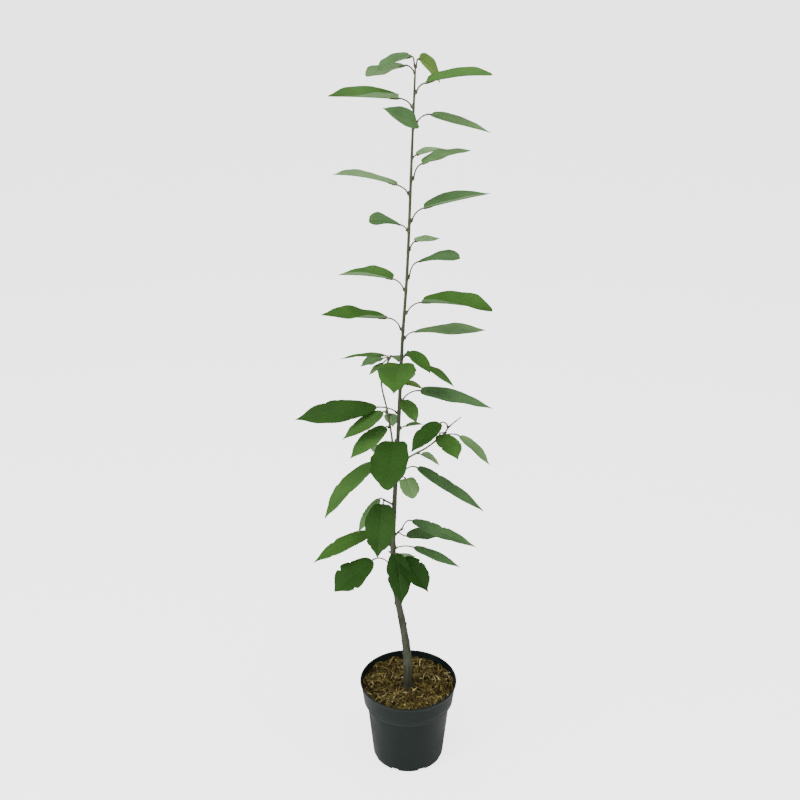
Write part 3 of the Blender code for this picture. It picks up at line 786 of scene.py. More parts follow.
class Blade:
    """Where a leaf's blade lies: an arc for the midrib, with both halves raised from it."""

    def __init__(self, leaf, base, number):
        chance = random.Random(SEED + number)
        self.base = base
        self.length = leaf.length
        self.half_width = leaf.length * leaf.breadth / 2.0 * chance.uniform(0.95, 1.05)
        self.bend = math.radians(leaf.droop * chance.uniform(0.7, 1.3))
        self.start = math.radians(leaf.pitch) + self.bend / 2.0
        self.fold = math.radians(leaf.fold + chance.uniform(-3.0, 3.0))
        self.roll = math.radians(leaf.roll + chance.uniform(-3.0, 3.0))
        self.bow = leaf.bow + chance.uniform(-0.05, 0.05)
        self.twist = math.radians(leaf.twist)
        self.widest = leaf.widest
        self.full = leaf.full
        self.ahead = heading(leaf.turn + leaf.swing)
        self.left = UP.cross(self.ahead)

    def slope(self, along):
        """The midrib's own direction."""
        angle = self.start - self.bend * along
        return self.ahead * math.cos(angle) + UP * math.sin(angle)

    def midrib(self, along):
        """A point of the midrib."""
        angle = self.start - self.bend * along
        forward = (math.sin(self.start) - math.sin(angle)) / self.bend
        rise = (math.cos(angle) - math.cos(self.start)) / self.bend
        aside = self.bow * (along - along * along)
        way = self.ahead * forward + UP * rise + self.left * aside
        return self.base + way * self.length

    def frame(self, along):
        """The directions to the left and up from the blade's middle, with its roll."""
        slope = self.slope(along)
        turned = Matrix.Rotation(self.roll + self.twist * along, 3, slope)
        return turned @ self.left, turned @ slope.cross(self.left)

    def point(self, along, across):
        """A point of the blade: across runs from -1 at the right edge to 1 at the left."""
        left, normal = self.frame(along)
        out = left * math.cos(self.fold) * across + normal * math.sin(self.fold) * abs(across)
        return self.midrib(along) + out * self.half_width * breadth_at(along, self.widest, self.full)

    def clear_of(self, limb):
        """True if no part of the blade comes near the limb."""
        for step in range(CHECK_STATIONS + 1):
            for across in (-1.0, -0.5, 0.0, 0.5, 1.0):
                place = self.point(step / CHECK_STATIONS, across)
                away = (place - limb.centre(place.z)).length
                if away < limb.radius(place.z) + CLEAR_OF_LIMB:
                    return False
        return True


def stalk_start(limb, height, turn):
    """Where a stalk leaves a limb, and the direction in which it does."""
    if height > limb.top:
        along = limb.direction(limb.top)
        return limb.centre(limb.top) + along * GAP, along
    along = limb.direction(height)
    out = heading(turn) - along * heading(turn).dot(along)
    out.normalize()
    return limb.centre(height) + out * (limb.radius(height) + GAP), out


# %% Every leaf of the plant
@dataclass
class Hung:
    """A leaf in its place: its node, its group, its blade, and where and how its stalk starts."""

    node: str
    group: str
    number: int
    blade: Blade
    start: Vector
    out: Vector
    lift: float


@dataclass
class Shoot:
    """A short shoot in its place: where it starts, its first direction and its way."""

    name: str
    start: Vector
    out: Vector
    way: Vector


def hang_leaves():
    """Goes through the rows and gives every leaf and short shoot its place."""
    hung, shoots = [], []

    def hang(node, group, leaf, foot, out):
        base = foot + heading(leaf.turn) * leaf.reach + UP * leaf.lift
        number = len(hung)
        hung.append(Hung(node, group, number, Blade(leaf, base, number), foot, out, leaf.lift))

    for kind, limb, leaves in SINGLE_LEAVES:
        for index, leaf in enumerate(leaves, 1):
            foot, out = stalk_start(LIMBS[limb], leaf.height, leaf.turn)
            hang(f"{kind}_{index:02d}", kind, leaf, foot, out)
    for name, spray in SPRAYS.items():
        start, out = stalk_start(LIMBS[spray.limb], spray.height, spray.turn)
        way = heading(spray.turn) * spray.reach + UP * spray.lift
        shoots.append(Shoot(name, start, out, way))
        for leaf in spray.leaves:
            foot = start + way.normalized() * min(leaf.height, way.length - 0.001)
            hang(name, "spray", leaf, foot, heading(leaf.turn))
    kept = [leaf for leaf in hung if all(leaf.blade.clear_of(limb) for limb in LIMBS.values())]
    return kept, shoots


HUNG, SHOOTS = hang_leaves()
print("leaves hung:", len(HUNG), "on", len(SHOOTS), "short shoots and three limbs")

# %% [markdown]
# ## A leaf, modelled once
# One leaf is modelled flat: a grid, finer towards the midrib, made a thin sheet by Solidify, with
# its own UV map from foot to tip and from edge to edge. Solidify gives the underside the second
# material. The faces beside the midrib take the rib's materials. Each leaf of the plant is then a
# copy of this mesh, bent on to its own arc.

# %% The flat leaf
LEAF_STATIONS = 120
LEAF_ACROSS = 16
LEAF_THICKNESS = 0.00045
RIB_SHARE = 0.03
CROWDING = 1.8  # how much the grid's lines crowd towards the midrib; 1 is even
flat_leaf = primitive(
    bpy.ops.mesh.primitive_grid_add, "flat_leaf",
    x_subdivisions=LEAF_STATIONS, y_subdivisions=LEAF_ACROSS, size=1.0, location=(0.5, 0.0, 0.0),
)
for finish in LEAF_SET["deep"]:
    flat_leaf.data.materials.append(finish)
points = coordinates(flat_leaf.data)
points[:, 1] = np.sign(points[:, 1]) * np.abs(2.0 * points[:, 1]) ** CROWDING
move_points(flat_leaf.data, points)
for face in flat_leaf.data.polygons:
    face.material_index = 2 if abs(face.center.y) < RIB_SHARE else 0
corners = np.empty(len(flat_leaf.data.loops), np.int32)
flat_leaf.data.loops.foreach_get("vertex_index", corners)
leaf_map = np.stack([points[corners, 0], (points[corners, 1] + 1.0) / 2.0], 1)
flat_leaf.data.uv_layers.active.uv.foreach_set("vector", leaf_map.astype(np.float32).ravel())
sheet = flat_leaf.modifiers.new("thickness", "SOLIDIFY")
sheet.thickness = LEAF_THICKNESS
sheet.offset = -1.0
sheet.material_offset = 1
apply_modifiers(flat_leaf)
FLAT = coordinates(flat_leaf.data)
print("flat leaf:", len(flat_leaf.data.polygons), "faces")

# %% [markdown]
# ## A leaf bent into place
# The outline gets what makes it a living leaf: a drawn-out tip, a fine saw edge whose teeth point
# forwards, a few bites, and one half a little broader than the other. The surface gets a groove
# along the midrib, a shallow quilting between the side veins, and a slow wave along each margin.


# %% A leaf's outline
TOOTH_STATIONS = 3
TOOTH_DEPTH = 0.0045
BITES = 7
UNHARMED_HEIGHT = 0.78
TIP_FROM = 0.80
DRAWN_TIP = 0.42
BLUNT_TIP = 0.10
RAGGED = 0.022


def leaf_outline(u, blade, chance):
    """The half width at each station, with the drawn-out tip."""
    body = np.array([breadth_at(along, blade.widest, blade.full) for along in u])
    shoulder = np.clip(u / (blade.widest * 0.8), 0.0, 1.0)
    body = body ** (0.62 + 0.38 * shoulder)
    tip = np.clip((u - TIP_FROM) / 0.20, 0.0, 1.0)
    drawn = DRAWN_TIP if blade.full > 0.6 else BLUNT_TIP
    body *= 1.0 - drawn * tip * tip * (3.0 - 2.0 * tip)
    ragged = RAGGED * np.sin(math.tau * (u * chance.uniform(2.0, 4.0) + chance.random()))
    foot = np.clip(u / 0.012, 0.15, 1.0)
    return np.maximum(body * (1.0 + ragged) * foot, 0.012)


def saw_edge(u, chance, depth):
    """How far the margin's teeth stand out at each station."""
    station = np.rint(u * LEAF_STATIONS).astype(int)
    tooth = (station % TOOTH_STATIONS) / (TOOTH_STATIONS - 1)
    uneven = np.array([chance.uniform(0.55, 1.25) for _ in range(LEAF_STATIONS + 2)])
    fade = np.clip(u / 0.10, 0.0, 1.0) * np.clip((1.0 - u) / 0.05, 0.0, 1.0)
    return depth * tooth * uneven[station // TOOTH_STATIONS] * fade


def torn_margin(u, v, wear, chance):
    """What is left of the width where the margin is nibbled; old leaves lost the most."""
    left = np.ones_like(u)
    for _ in range(BITES):
        place, width = chance.uniform(0.22, 0.96), chance.uniform(0.012, 0.035)
        deep, half = wear * chance.uniform(0.03, 0.15), chance.choice((-1.0, 1.0))
        left -= deep * np.exp(-(((u - place) / width) ** 2)) * (np.sign(v) == half)
    return np.maximum(left, 0.7)


# %% A leaf's relief
VEIN_PAIRS = 9.0
VEIN_SLANT = 1.9
QUILT_HEIGHT = 0.00035
GROOVE_DEPTH = 0.00028
GROOVE_WIDTH = 0.0010


def groove_depth(u):
    """How deep the midrib lies, shallower towards the tip."""
    return GROOVE_DEPTH * (1.0 - 0.7 * u)


def leaf_relief(u, v, blade, outline, chance):
    """The height of the blade's surface over its folded sheet."""
    aside = np.abs(v)
    phase = VEIN_PAIRS * u - VEIN_SLANT * aside
    off = np.abs(phase - np.rint(phase))
    flat_margin = np.sqrt(np.clip(1.0 - aside, 0.0, 1.0))
    quilt = QUILT_HEIGHT * (np.cos(math.tau * off) * -0.5) * flat_margin
    quilt *= np.clip(outline / 0.3, 0.0, 1.0)
    groove = -groove_depth(u) * np.exp(-((aside * outline * blade.half_width / GROOVE_WIDTH) ** 2))
    wave = np.zeros_like(u)
    for share in (0.65, 0.35):
        count, first, second = chance.uniform(0.9, 2.4), chance.random(), chance.random()
        wave += share * np.sin(math.tau * (count * u + np.where(v > 0, first, second)))
    swing = chance.uniform(0.015, 0.050) * blade.half_width * 2.0
    curl = chance.uniform(-0.10, 0.05) * blade.half_width
    arch = np.sin(math.pi * np.clip(u, 0.0, 1.0))
    return quilt + groove + (swing * wave * aside**2 + curl * aside**3) * arch


# %% Bending a leaf
def bent_leaf(leaf, finishes):
    """A copy of the flat leaf on a blade's arc."""
    blade = leaf.blade
    chance = random.Random(SEED + 5000 + leaf.number)
    u, v, side = FLAT.T
    levels = np.unique(np.round(u, 6))
    index = np.searchsorted(levels, np.round(u, 6))
    rib = np.array([blade.midrib(along) for along in levels])[index]
    left, normal = (np.array(ways)[index] for ways in zip(*map(blade.frame, levels)))
    outline = leaf_outline(levels, blade, chance)[index]
    lopsided = 1.0 + chance.uniform(-0.06, 0.06) * np.sign(v)
    teeth = saw_edge(u, chance, TOOTH_DEPTH * blade.length) * np.sign(v) * (np.abs(v) > 0.999)
    reach = v * outline * blade.half_width * lopsided + teeth
    relief = leaf_relief(u, v, blade, outline, chance)
    wear = min(max((UNHARMED_HEIGHT - blade.base.z) / 0.25, 0.1), 1.0)
    reach = reach * torn_margin(u, v, wear, chance)
    height = np.abs(reach) * math.sin(blade.fold) + relief + side
    points = rib + left * (reach * math.cos(blade.fold))[:, None] + normal * height[:, None]
    copy = copied(flat_leaf, points)
    for slot, finish in enumerate(finishes):
        copy.data.materials[slot] = finish
    return copy


# %% [markdown]
# ## Dealing out the greens
# The greens grow lighter up the stem, and leaves of one height differ as well, by age and by which
# way they face. Much of this is painted light: the leaves in the shade at the foot and at the back
# take the darkest greens as painted shade, and leaves lit from below take the palest. So each leaf
# is given its green by its running number in the rows above.

# %% All the leaves
# Each leaf's green: partly its own tone, partly painted light and shade for how the light falls on that leaf.
TONED = {
    "shaded": (35, 36, 37, 50, 51),
    "old": (16, 20, 25, 27, 48),
    "deep": (12, 13, 17, 24, 28, 34, 45),
    "fresh": (0, 1, 11, 22, 31, 32, 41, 46, 47),
    "dull": (2, 7, 8, 10, 15, 21, 26, 33, 38, 42, 52, 53),
    "light": (3, 5, 6, 14, 19, 29, 43, 44, 49),
    "pale": (23, 39),
    "bleached": (4, 9, 30),
    "young": (18, 40),
}
TONE_OF = {number: tone for tone, numbers in TONED.items() for number in numbers}
LEAF_PIECES = {
    "leader_leaves": ("leader_leaf",),
    "lower_leaves": ("lower_leaf", "back_leaf"),
    "side_leaves": ("right_shoot_leaf", "left_shoot_leaf", "spray"),
}
for name, groups in LEAF_PIECES.items():
    mine = [leaf for leaf in HUNG if leaf.group in groups]
    piece = joined(name, [bent_leaf(leaf, LEAF_SET[TONE_OF[leaf.number]]) for leaf in mine])
    settle(piece, 50.0, sorted({leaf.node for leaf in mine}))
bpy.data.objects.remove(flat_leaf)

# %% [markdown]
# ## Stalks and midribs
# A leaf stalk is a thin tube that springs from a slightly swollen foot, arches, and runs on under
# the blade as the midrib. All of them are splines of one bevelled curve, each point with its own
# radius, and the curve is then made a mesh.


# %% Tubes from curves
def tubes(name, strands, finish, resolution=3):
    """A mesh of closed round tubes; a strand is its points and their radii."""
    curve = bpy.data.curves.new(name, "CURVE")
    curve.dimensions = "3D"
    curve.bevel_depth = 1.0
    curve.bevel_resolution = resolution
    curve.use_fill_caps = True
    for points, radii in strands:
        spline = curve.splines.new("POLY")
        spline.points.add(len(points) - 1)
        for point, place, radius in zip(spline.points, points, radii):
            point.co = (*place, 1.0)
            point.radius = radius
    obj = bpy.data.objects.new(name, curve)
    SCENE.collection.objects.link(obj)
    select_only(obj)
    bpy.ops.object.convert(target="MESH")
    made = bpy.context.object
    face_outwards(made)
    made.data.materials.clear()
    made.data.materials.append(finish)
    return made


def cubic(start, first, second, end, count):
    """Points along a cubic from start to end."""
    points = []
    for step in range(count + 1):
        t = step / count
        u = 1.0 - t
        points.append(start * u**3 + first * 3 * u * u * t + second * 3 * u * t * t + end * t**3)
    return points


# %% Leaf stalks and midribs
STALK_RADIUS = 0.00110
STALK_SUNK = 0.0006
STALK_COLLAR = 0.0012
STALK_STEPS = 16
RIB_STEPS = 24


def under_rib(blade, share, radius):
    """The middle of a strand that lies half sunk in the leaf's underside."""
    depth = groove_depth(share) + LEAF_THICKNESS + 0.45 * radius
    return blade.midrib(share) - blade.frame(share)[1] * depth


def stalk_strand(leaf):
    """The stalk, from inside the limb's bark to under the blade's foot."""
    blade = leaf.blade
    distance = (blade.base - leaf.start).length
    foot = leaf.start + leaf.out * STALK_COLLAR
    first = foot + leaf.out * 0.10 * distance + UP * (0.5 * max(leaf.lift, 0.0) + 0.001)
    second = blade.base - blade.slope(0.0) * 0.35 * distance
    points = [leaf.start - leaf.out * STALK_SUNK] + cubic(foot, first, second, blade.base, STALK_STEPS)
    radii = [STALK_RADIUS * 2.1]
    for step in range(STALK_STEPS + 1):
        share = step / STALK_STEPS
        radii.append(STALK_RADIUS * (1.0 + 0.9 * math.exp(-share * 11.0) + 0.25 * share**6))
    for share in (0.02, 0.05, 0.09, 0.13):
        radii.append(STALK_RADIUS * (1.15 - 1.6 * share))
        points.append(under_rib(blade, share, radii[-1]))
    return points, radii


def rib_strand(leaf):
    """The midrib that stands out under the blade, thinner and thinner to the tip."""
    shares = [0.10 + 0.84 * step / RIB_STEPS for step in range(RIB_STEPS + 1)]
    radii = [0.00018 + 0.00050 * (1.0 - share) for share in shares]
    return [under_rib(leaf.blade, share, radius) for share, radius in zip(shares, radii)], radii


stalks = tubes("leaf_stalks", [stalk_strand(leaf) for leaf in HUNG], STALK_SKIN)
settle(stalks, 60.0)
midribs = tubes("leaf_midribs", [rib_strand(leaf) for leaf in HUNG], LEAF_SET["fresh"][3], 2)
settle(midribs, 60.0)

# %% [markdown]
# ## The stem
# The stem is one tapering body with a flat cut at the soil. It is grown as by hand: a filled circle
# at the foot whose face is extruded and resized from ring to ring, with rings close together where
# the flare and the nodes are. A stalk's node swells the ring. After that the points are pressed in
# and out for what isn't round: root ridges, bark streaks, leaf pads, scars.


# %% A body grown ring by ring
def ring_by_ring(name, rings, sides, finish):
    """A closed body from a filled circle whose face is extruded from ring to ring.

    A ring is its centre and its radius.
    """
    low, wide = rings[0]
    circle = bpy.ops.mesh.primitive_circle_add
    body = primitive(circle, name, vertices=sides, radius=wide, fill_type="NGON", location=low)
    bpy.ops.object.mode_set(mode="EDIT")
    bpy.ops.mesh.select_all(action="SELECT")
    for high, radius in rings[1:]:
        bpy.ops.mesh.extrude_region_move(TRANSFORM_OT_translate={"value": tuple(high - low)})
        ratio = radius / wide
        bpy.ops.transform.resize(value=(ratio, ratio, 1.0), center_override=tuple(high))
        low, wide = high, radius
    bpy.ops.object.mode_set(mode="OBJECT")
    face_outwards(body)
    body.data.materials.append(finish)
    return body


def swollen(height, nodes, share, tall, most):
    """How many times its plain radius a limb has at a height, for the nodes near it."""
    near = sum(math.exp(-(((height - node) / tall) ** 2)) for node in nodes)
    return 1.0 + share * min(near, most)


# %% The stem's rings
STEM_SIDES = 36
FLARE_TOP = 0.170
FLARE_STEP = 0.0012
STEM_STEP = 0.0028
STEM_SWELL = (0.07, 0.0040, 1.3)  # share of the radius, half height, most nodes at once
TRUNK_NODES = [(leaf.height, leaf.turn) for leaf in LEADER_LEAVES + LOWER_LEAVES + BACK_LEAVES]
TRUNK_NODES += [(spray.height, spray.turn) for spray in SPRAYS.values() if spray.limb == "trunk"]
TRUNK_NODES += [(RIGHT_SHOOT_STATIONS[0][0], 350), (LEFT_SHOOT_STATIONS[0][0], 200)]
OLD_NODES = [(0.190 + 0.0235 * step, (40 + 137.5 * step) % 360) for step in range(8)]
OLD_NODES[5] = (0.3116, 180)
OLD_NODES[3] = (0.2718, 5)


def stem_heights():
    """The heights of the rings, close together at the foot."""
    heights = [TRUNK.foot]
    while heights[-1] < TRUNK.top - 0.002:
        heights.append(heights[-1] + (FLARE_STEP if heights[-1] < FLARE_TOP else STEM_STEP))
    return heights + [TRUNK.top]


all_nodes = [node for node, turn in TRUNK_NODES + OLD_NODES]
rings = []
for height in stem_heights():
    rings.append((TRUNK.centre(height), TRUNK.radius(height) * swollen(height, all_nodes, *STEM_SWELL)))
stem = ring_by_ring("stem", rings, STEM_SIDES, STEM_BARK)
print("stem rings:", len(rings))

# %% The stem's relief
ROOT_RIDGES = ((3, 0.7, 0.12), (5, 2.0, 0.07))  # how many round the stem, phase, share of the radius
FINE_STREAK = 0.00006
COARSE_STREAK = 0.00022
COARSE_BELOW = 0.45
rng = random.Random(SEED + 3)
STREAKS = []
for _ in range(9):
    STREAKS.append((rng.randint(5, 16), rng.uniform(0, 6.28), rng.uniform(12, 60), rng.uniform(0, 6.28)))
# Which nodes, how far over them, how far out, half the height, and half the width in degrees
PADS_AND_SCARS = (
    (TRUNK_NODES, -0.0012, 0.0011, 0.0022, 38),
    (OLD_NODES, 0.0, 0.0013, 0.0019, 34),
    (OLD_NODES, 0.0028, -0.0009, 0.0010, 28),
)


def bumps(z, angle, nodes, over, tall, wide):
    """Soft bumps on the stem over its nodes."""
    total = np.zeros_like(z)
    for height, turn in nodes:
        off = (angle - math.radians(turn) + math.pi) % math.tau - math.pi
        total += np.exp(-(((z - (height + over)) / tall) ** 2) - (off / math.radians(wide)) ** 2)
    return total


points = coordinates(stem.data)
z = points[:, 2]
axis = np.array([TRUNK.centre(height) for height in z])
away = points[:, :2] - axis[:, :2]
radius = np.hypot(away[:, 0], away[:, 1])
angle = np.arctan2(away[:, 1], away[:, 0])
low = np.clip((FLARE_TOP - z) / (FLARE_TOP - TRUNK.foot), 0.0, 1.0)
ridges = sum(deep * np.cos(count * angle + phase) for count, phase, deep in ROOT_RIDGES)
streak = sum(np.sin(k * angle + p + 1.2 * np.sin(f * z + q)) for k, p, f, q in STREAKS) / 3.0
grown = radius * (1.0 + low**1.5 * ridges)
grown += streak * (FINE_STREAK + COARSE_STREAK * np.clip((COARSE_BELOW - z) / 0.30, 0.0, 1.0))
for nodes, over, out, tall, wide in PADS_AND_SCARS:
    grown += out * bumps(z, angle, nodes, over, tall, wide)
ratio = np.where(radius > 1e-6, grown / np.maximum(radius, 1e-6), 1.0)
points[:, :2] = axis[:, :2] + away * ratio[:, None]
move_points(stem.data, points)
settle(stem, 50.0, ["trunk"])

# %% [markdown]
# ## Side shoots, short shoots and buds
# The two side shoots are green, thin and swollen at their nodes. A short shoot is woody and ringed
# by the scars of old bud scales. A bud is a small pointed body that sits in the angle over a
# stalk; it is modelled once, ring by ring, and copied to each node.


# %% Side shoots and short shoots
SHOOT_STEPS = 60
SHORT_STEPS = 24
SHORT_RADIUS = 0.00165
SHOOT_SWELL = (0.22, 0.0022, 1.2)
SHOOT_NODES = {
    "right_shoot": [leaf.height for leaf in RIGHT_SHOOT_LEAVES] + [0.590, 0.626, 0.664],
    "left_shoot": [leaf.height for leaf in LEFT_SHOOT_LEAVES] + [0.600, 0.700, 0.724, 0.742],
}


def shoot_strand(limb, nodes):
    """A side shoot from inside the stem's bark to its tip."""
    heights = [limb.foot + (limb.top - limb.foot) * step / SHOOT_STEPS for step in range(SHOOT_STEPS + 1)]
    points = [limb.centre(height) for height in heights]
    radii = [limb.radius(height) * swollen(height, nodes, *SHOOT_SWELL) for height in heights]
    inside = TRUNK.centre(limb.foot - 0.002)
    return [inside] + points, [radii[0] * 1.25] + radii


def short_strand(shoot):
    """A short shoot with the rings of its scars; the one at the tip goes on from the stem."""
    tip = shoot.name == "top_tuft"
    thick = TRUNK.radius(TRUNK.top) if tip else SHORT_RADIUS
    start, way = shoot.start, shoot.way
    points = [start - shoot.out * 0.0015, start]
    points += cubic(start + shoot.out * 0.001, start + way * 0.3, start + way * 0.7, start + way, SHORT_STEPS)
    points.append(start + way + way.normalized() * 0.0008)
    radii = [thick * 1.1, thick * 1.08]
    for step in range(SHORT_STEPS + 1):
        ring = 0.0 if tip else 0.13 * math.cos(step * 2.1) ** 2
        radii.append(thick * (1.0 - 0.12 * step / SHORT_STEPS + ring))
    return points, radii + [thick * 0.35]


for name, nodes in SHOOT_NODES.items():
    shoot = tubes(f"{name}_bark", [shoot_strand(LIMBS[name], nodes)], SHOOT_BARK, 5)
    settle(shoot, 60.0, [name])
short_shoots = tubes("short_shoots", [short_strand(shoot) for shoot in SHOOTS], SHOOT_BARK, 4)
settle(short_shoots, 60.0)

# %% Buds
BUD_LENGTH = 0.0036
BUD_RADIUS = 0.00105
BUD_SIDES = 10
# Shares of the length and of the radius
BUD_RINGS = (
    (0.0, 0.60), (0.12, 0.85), (0.30, 1.0), (0.33, 0.93),
    (0.55, 0.86), (0.58, 0.76), (0.80, 0.48), (1.0, 0.06),
)
rings = [(UP * (BUD_LENGTH * share), BUD_RADIUS * wide) for share, wide in BUD_RINGS]
bud = ring_by_ring("bud", rings, BUD_SIDES, BUD_SCALE)
BUD_SHAPE = coordinates(bud.data)
buds = []


def add_bud(place, way, size):
    """Adds a copy of the bud at a place, pointing a way."""
    turn = np.array(way.to_track_quat("Z", "Y").to_matrix())
    buds.append(copied(bud, (BUD_SHAPE * size) @ turn.T + np.array(place)))


rng = random.Random(SEED + 4)
ON_LIMB = {kind: LIMBS[limb] for kind, limb, leaves in SINGLE_LEAVES}
for leaf in HUNG:
    if leaf.group in ON_LIMB:
        along = ON_LIMB[leaf.group].direction(leaf.start.z)
        place = leaf.start + along * 0.0022 - leaf.out * 0.0009
        add_bud(place, along + leaf.out * 0.75, rng.uniform(0.75, 1.15))
for height, turn in OLD_NODES:
    start, out = stalk_start(TRUNK, height + 0.0012, turn)
    add_bud(start - out * 0.0010, TRUNK.direction(height) + out * 0.9, rng.uniform(0.6, 0.95))
for name in ("left_shoot", "right_shoot"):
    limb = LIMBS[name]
    along = limb.direction(limb.top)
    add_bud(limb.centre(limb.top) - along * 0.0008, along, 0.9)
bpy.data.objects.remove(bud)
settle(joined("buds", buds), 40.0)

# %% [markdown]
# ## The pot
# A nursery pot is one thin moulded shell: a tapered wall, a ledge, a wider collar and a rolled rim.
# The shell is grown from the underside's circle, up the outside, over the rim and down the inside,
# so that it is closed. Small steps round every edge. The drain slots are cut by a Boolean.

# %% The pot's measures
POT_HEIGHT = 0.1545
RIM_RADIUS = 0.0850
RIM_BEAD = 0.0016
LEDGE_HEIGHT = 0.1150
COLLAR_BASE_RADIUS = 0.0787
WALL_TOP_RADIUS = 0.0735
BASE_RADIUS = 0.0624
BASE_EDGE = 0.0030
POT_WALL = 0.0014
POT_FLOOR = 0.0020
POT_SIDES = 120


def wall_radius(height):
    """The pot's outer radius below the ledge."""
    return BASE_RADIUS + (WALL_TOP_RADIUS - BASE_RADIUS) * height / LEDGE_HEIGHT


def collar_radius(height):
    """The pot's outer radius above the ledge, under the rim's bead."""
    share = (height - LEDGE_HEIGHT) / (POT_HEIGHT - LEDGE_HEIGHT)
    top = RIM_RADIUS - RIM_BEAD * 0.6
    return COLLAR_BASE_RADIUS + (top - COLLAR_BASE_RADIUS) * share


# %% The pot's profile
def arc(radius, height, size, start, end, count):
    """Points of a small round, as radius and height."""
    angles = [math.radians(start + (end - start) * step / count) for step in range(count + 1)]
    return [(radius + size * math.cos(a), height + size * math.sin(a)) for a in angles]


def pot_profile():
    """Radius and height from the underside up the outside, over the rim and down the inside."""
    ledge, lip, wall, bead = LEDGE_HEIGHT, COLLAR_BASE_RADIUS, WALL_TOP_RADIUS, RIM_BEAD
    bead_foot = POT_HEIGHT - 3.2 * bead
    outside = [(BASE_RADIUS - BASE_EDGE * 2.5, 0.0)]
    outside += arc(BASE_RADIUS - BASE_EDGE, BASE_EDGE, BASE_EDGE, -90.0, -4.0, 6)
    outside += [(wall_radius(h), h) for h in (0.012, 0.030, 0.050, 0.070, 0.090, 0.108)]
    outside += [(wall - 0.0001, ledge - 0.0022), (wall + 0.0005, ledge - 0.0008)]
    outside += [(wall + 0.0016, ledge - 0.0001), (lip - 0.0010, ledge)]
    outside += arc(lip - 0.0006, ledge + 0.0010, 0.0010, -80.0, 70.0, 5)
    outside += [(collar_radius(h), h) for h in (ledge + 0.0028, 0.126, 0.136, 0.146, bead_foot)]
    outside += arc(RIM_RADIUS - bead, POT_HEIGHT - bead, bead, -50.0, 200.0, 12)
    inside = [(collar_radius(h) - POT_WALL, h) for h in (0.150, 0.140, 0.128, 0.119)]
    inside += [(lip - POT_WALL - 0.0006, ledge + POT_WALL + 0.0004)]
    inside += [(wall - POT_WALL, ledge + POT_WALL - 0.0004)]
    inside += [(wall_radius(h) - POT_WALL, h) for h in (0.100, 0.060, 0.020, 0.0048)]
    inside += [(BASE_RADIUS - BASE_EDGE - POT_WALL, POT_FLOOR)]
    return outside + inside


rings = [(UP * height, radius) for radius, height in pot_profile()]
pot = ring_by_ring("pot_shell", rings, POT_SIDES, POT_PLASTIC)
print("pot rings:", len(rings))

# %% The drain slots
DRAIN_COUNT = 8
DRAIN_SIZE = (0.0120, 0.0130, 0.0084)  # depth, width and height; its lower half is under the pot
DRAIN_ROUNDING = 0.0016
slot = primitive(bpy.ops.mesh.primitive_cube_add, "drain_slot", size=1.0, scale=DRAIN_SIZE)
rounding = slot.modifiers.new("rounding", "BEVEL")
rounding.width = DRAIN_ROUNDING
rounding.segments = 3
apply_modifiers(slot)
cutters = []
for index in range(DRAIN_COUNT):
    turn = 360.0 / DRAIN_COUNT * (index + 0.5)
    cutter = copied(slot)
    cutter.location = heading(turn) * BASE_RADIUS
    cutter.rotation_euler.z = math.radians(turn)
    cutters.append(cutter)
bpy.data.objects.remove(slot)
cutters = joined("drain_cutters", cutters)
cut = pot.modifiers.new("drain slots", "BOOLEAN")
cut.operation = "DIFFERENCE"
cut.object = cutters
cut.solver = "EXACT"
apply_modifiers(pot)
bpy.data.objects.remove(cutters)
settle(pot, 32.0, ["pot"])
print("pot:", [round(side * 1000, 1) for side in pot.dimensions], "mm")

# %% [markdown]
# ## Soil
# The pot is full of dark potting soil. It is a body that fills the pot, grown ring by ring up the
# inside of the wall and in over the top to the middle. The top then takes its rough heights, with
# a small mound that hides the stem's cut.

# %% The soil
FOOT = TRUNK.centre(TRUNK.foot)
SOIL_EDGE_HEIGHT = 0.1385
MULCH_DEPTH = 0.0022
DOME_HEIGHT = 0.0030
FOOT_MOUND = 0.0046
SOIL_SIDES = 96
TOP_RINGS = 26
# Waves of the surface: how fast along X and Y, the phase and the height
WAVES = (
    (160, 70, 0.3, 0.0010), (-90, 210, 1.9, 0.0009),
    (330, -260, 4.0, 0.0006), (520, 430, 2.2, 0.0004),
)


def ground(x, y):
    """The height of the soil's rough surface."""
    mound = GROUND_HEIGHT - DOME_HEIGHT * np.clip(np.hypot(x, y) / 0.080, 0.0, 1.0) ** 2 - MULCH_DEPTH
    r = np.hypot(x - FOOT.x, y - FOOT.y)
    mound = mound + FOOT_MOUND * np.clip((0.024 - r) / 0.012, 0.0, 1.0) ** 1.5
    rough = sum(np.sin(a * x + b * y + phase) * tall for a, b, phase, tall in WAVES)
    return mound + rough * np.clip((r - 0.008) / 0.010, 0.0, 1.0)


inner = POT_WALL + GAP
edge = collar_radius(SOIL_EDGE_HEIGHT) - inner
profile = [(BASE_RADIUS - BASE_EDGE - inner, POT_FLOOR + GAP)]
profile += [(wall_radius(height) - inner, height) for height in (0.0055, 0.060)]
profile += [(WALL_TOP_RADIUS - inner, LEDGE_HEIGHT + 0.0008)]
profile += [(COLLAR_BASE_RADIUS - inner, LEDGE_HEIGHT + 0.0024)]
profile += [(edge * (1.0 - step / TOP_RINGS), SOIL_EDGE_HEIGHT) for step in range(TOP_RINGS)]
soil = ring_by_ring("soil", [(UP * height, radius) for radius, height in profile], SOIL_SIDES, SOIL)
points = coordinates(soil.data)
top = points[:, 2] > SOIL_EDGE_HEIGHT - 0.0001
top &= np.hypot(points[:, 0], points[:, 1]) < edge - 0.001
points[top, 2] = ground(points[top, 0], points[top, 1])
move_points(soil.data, points)
settle(soil, 60.0, ["root_ball"])

# %% [markdown]
# ## Chips and crumbs
# Between the strips of mulch lie flat chips of bark and straw, and dark crumbs of soil. One small
# rough body is modelled and copied over and over, each copy with its own size, turn and tilt.
# There are over a thousand, so the copies of a kind are one mesh, made from an array of points.


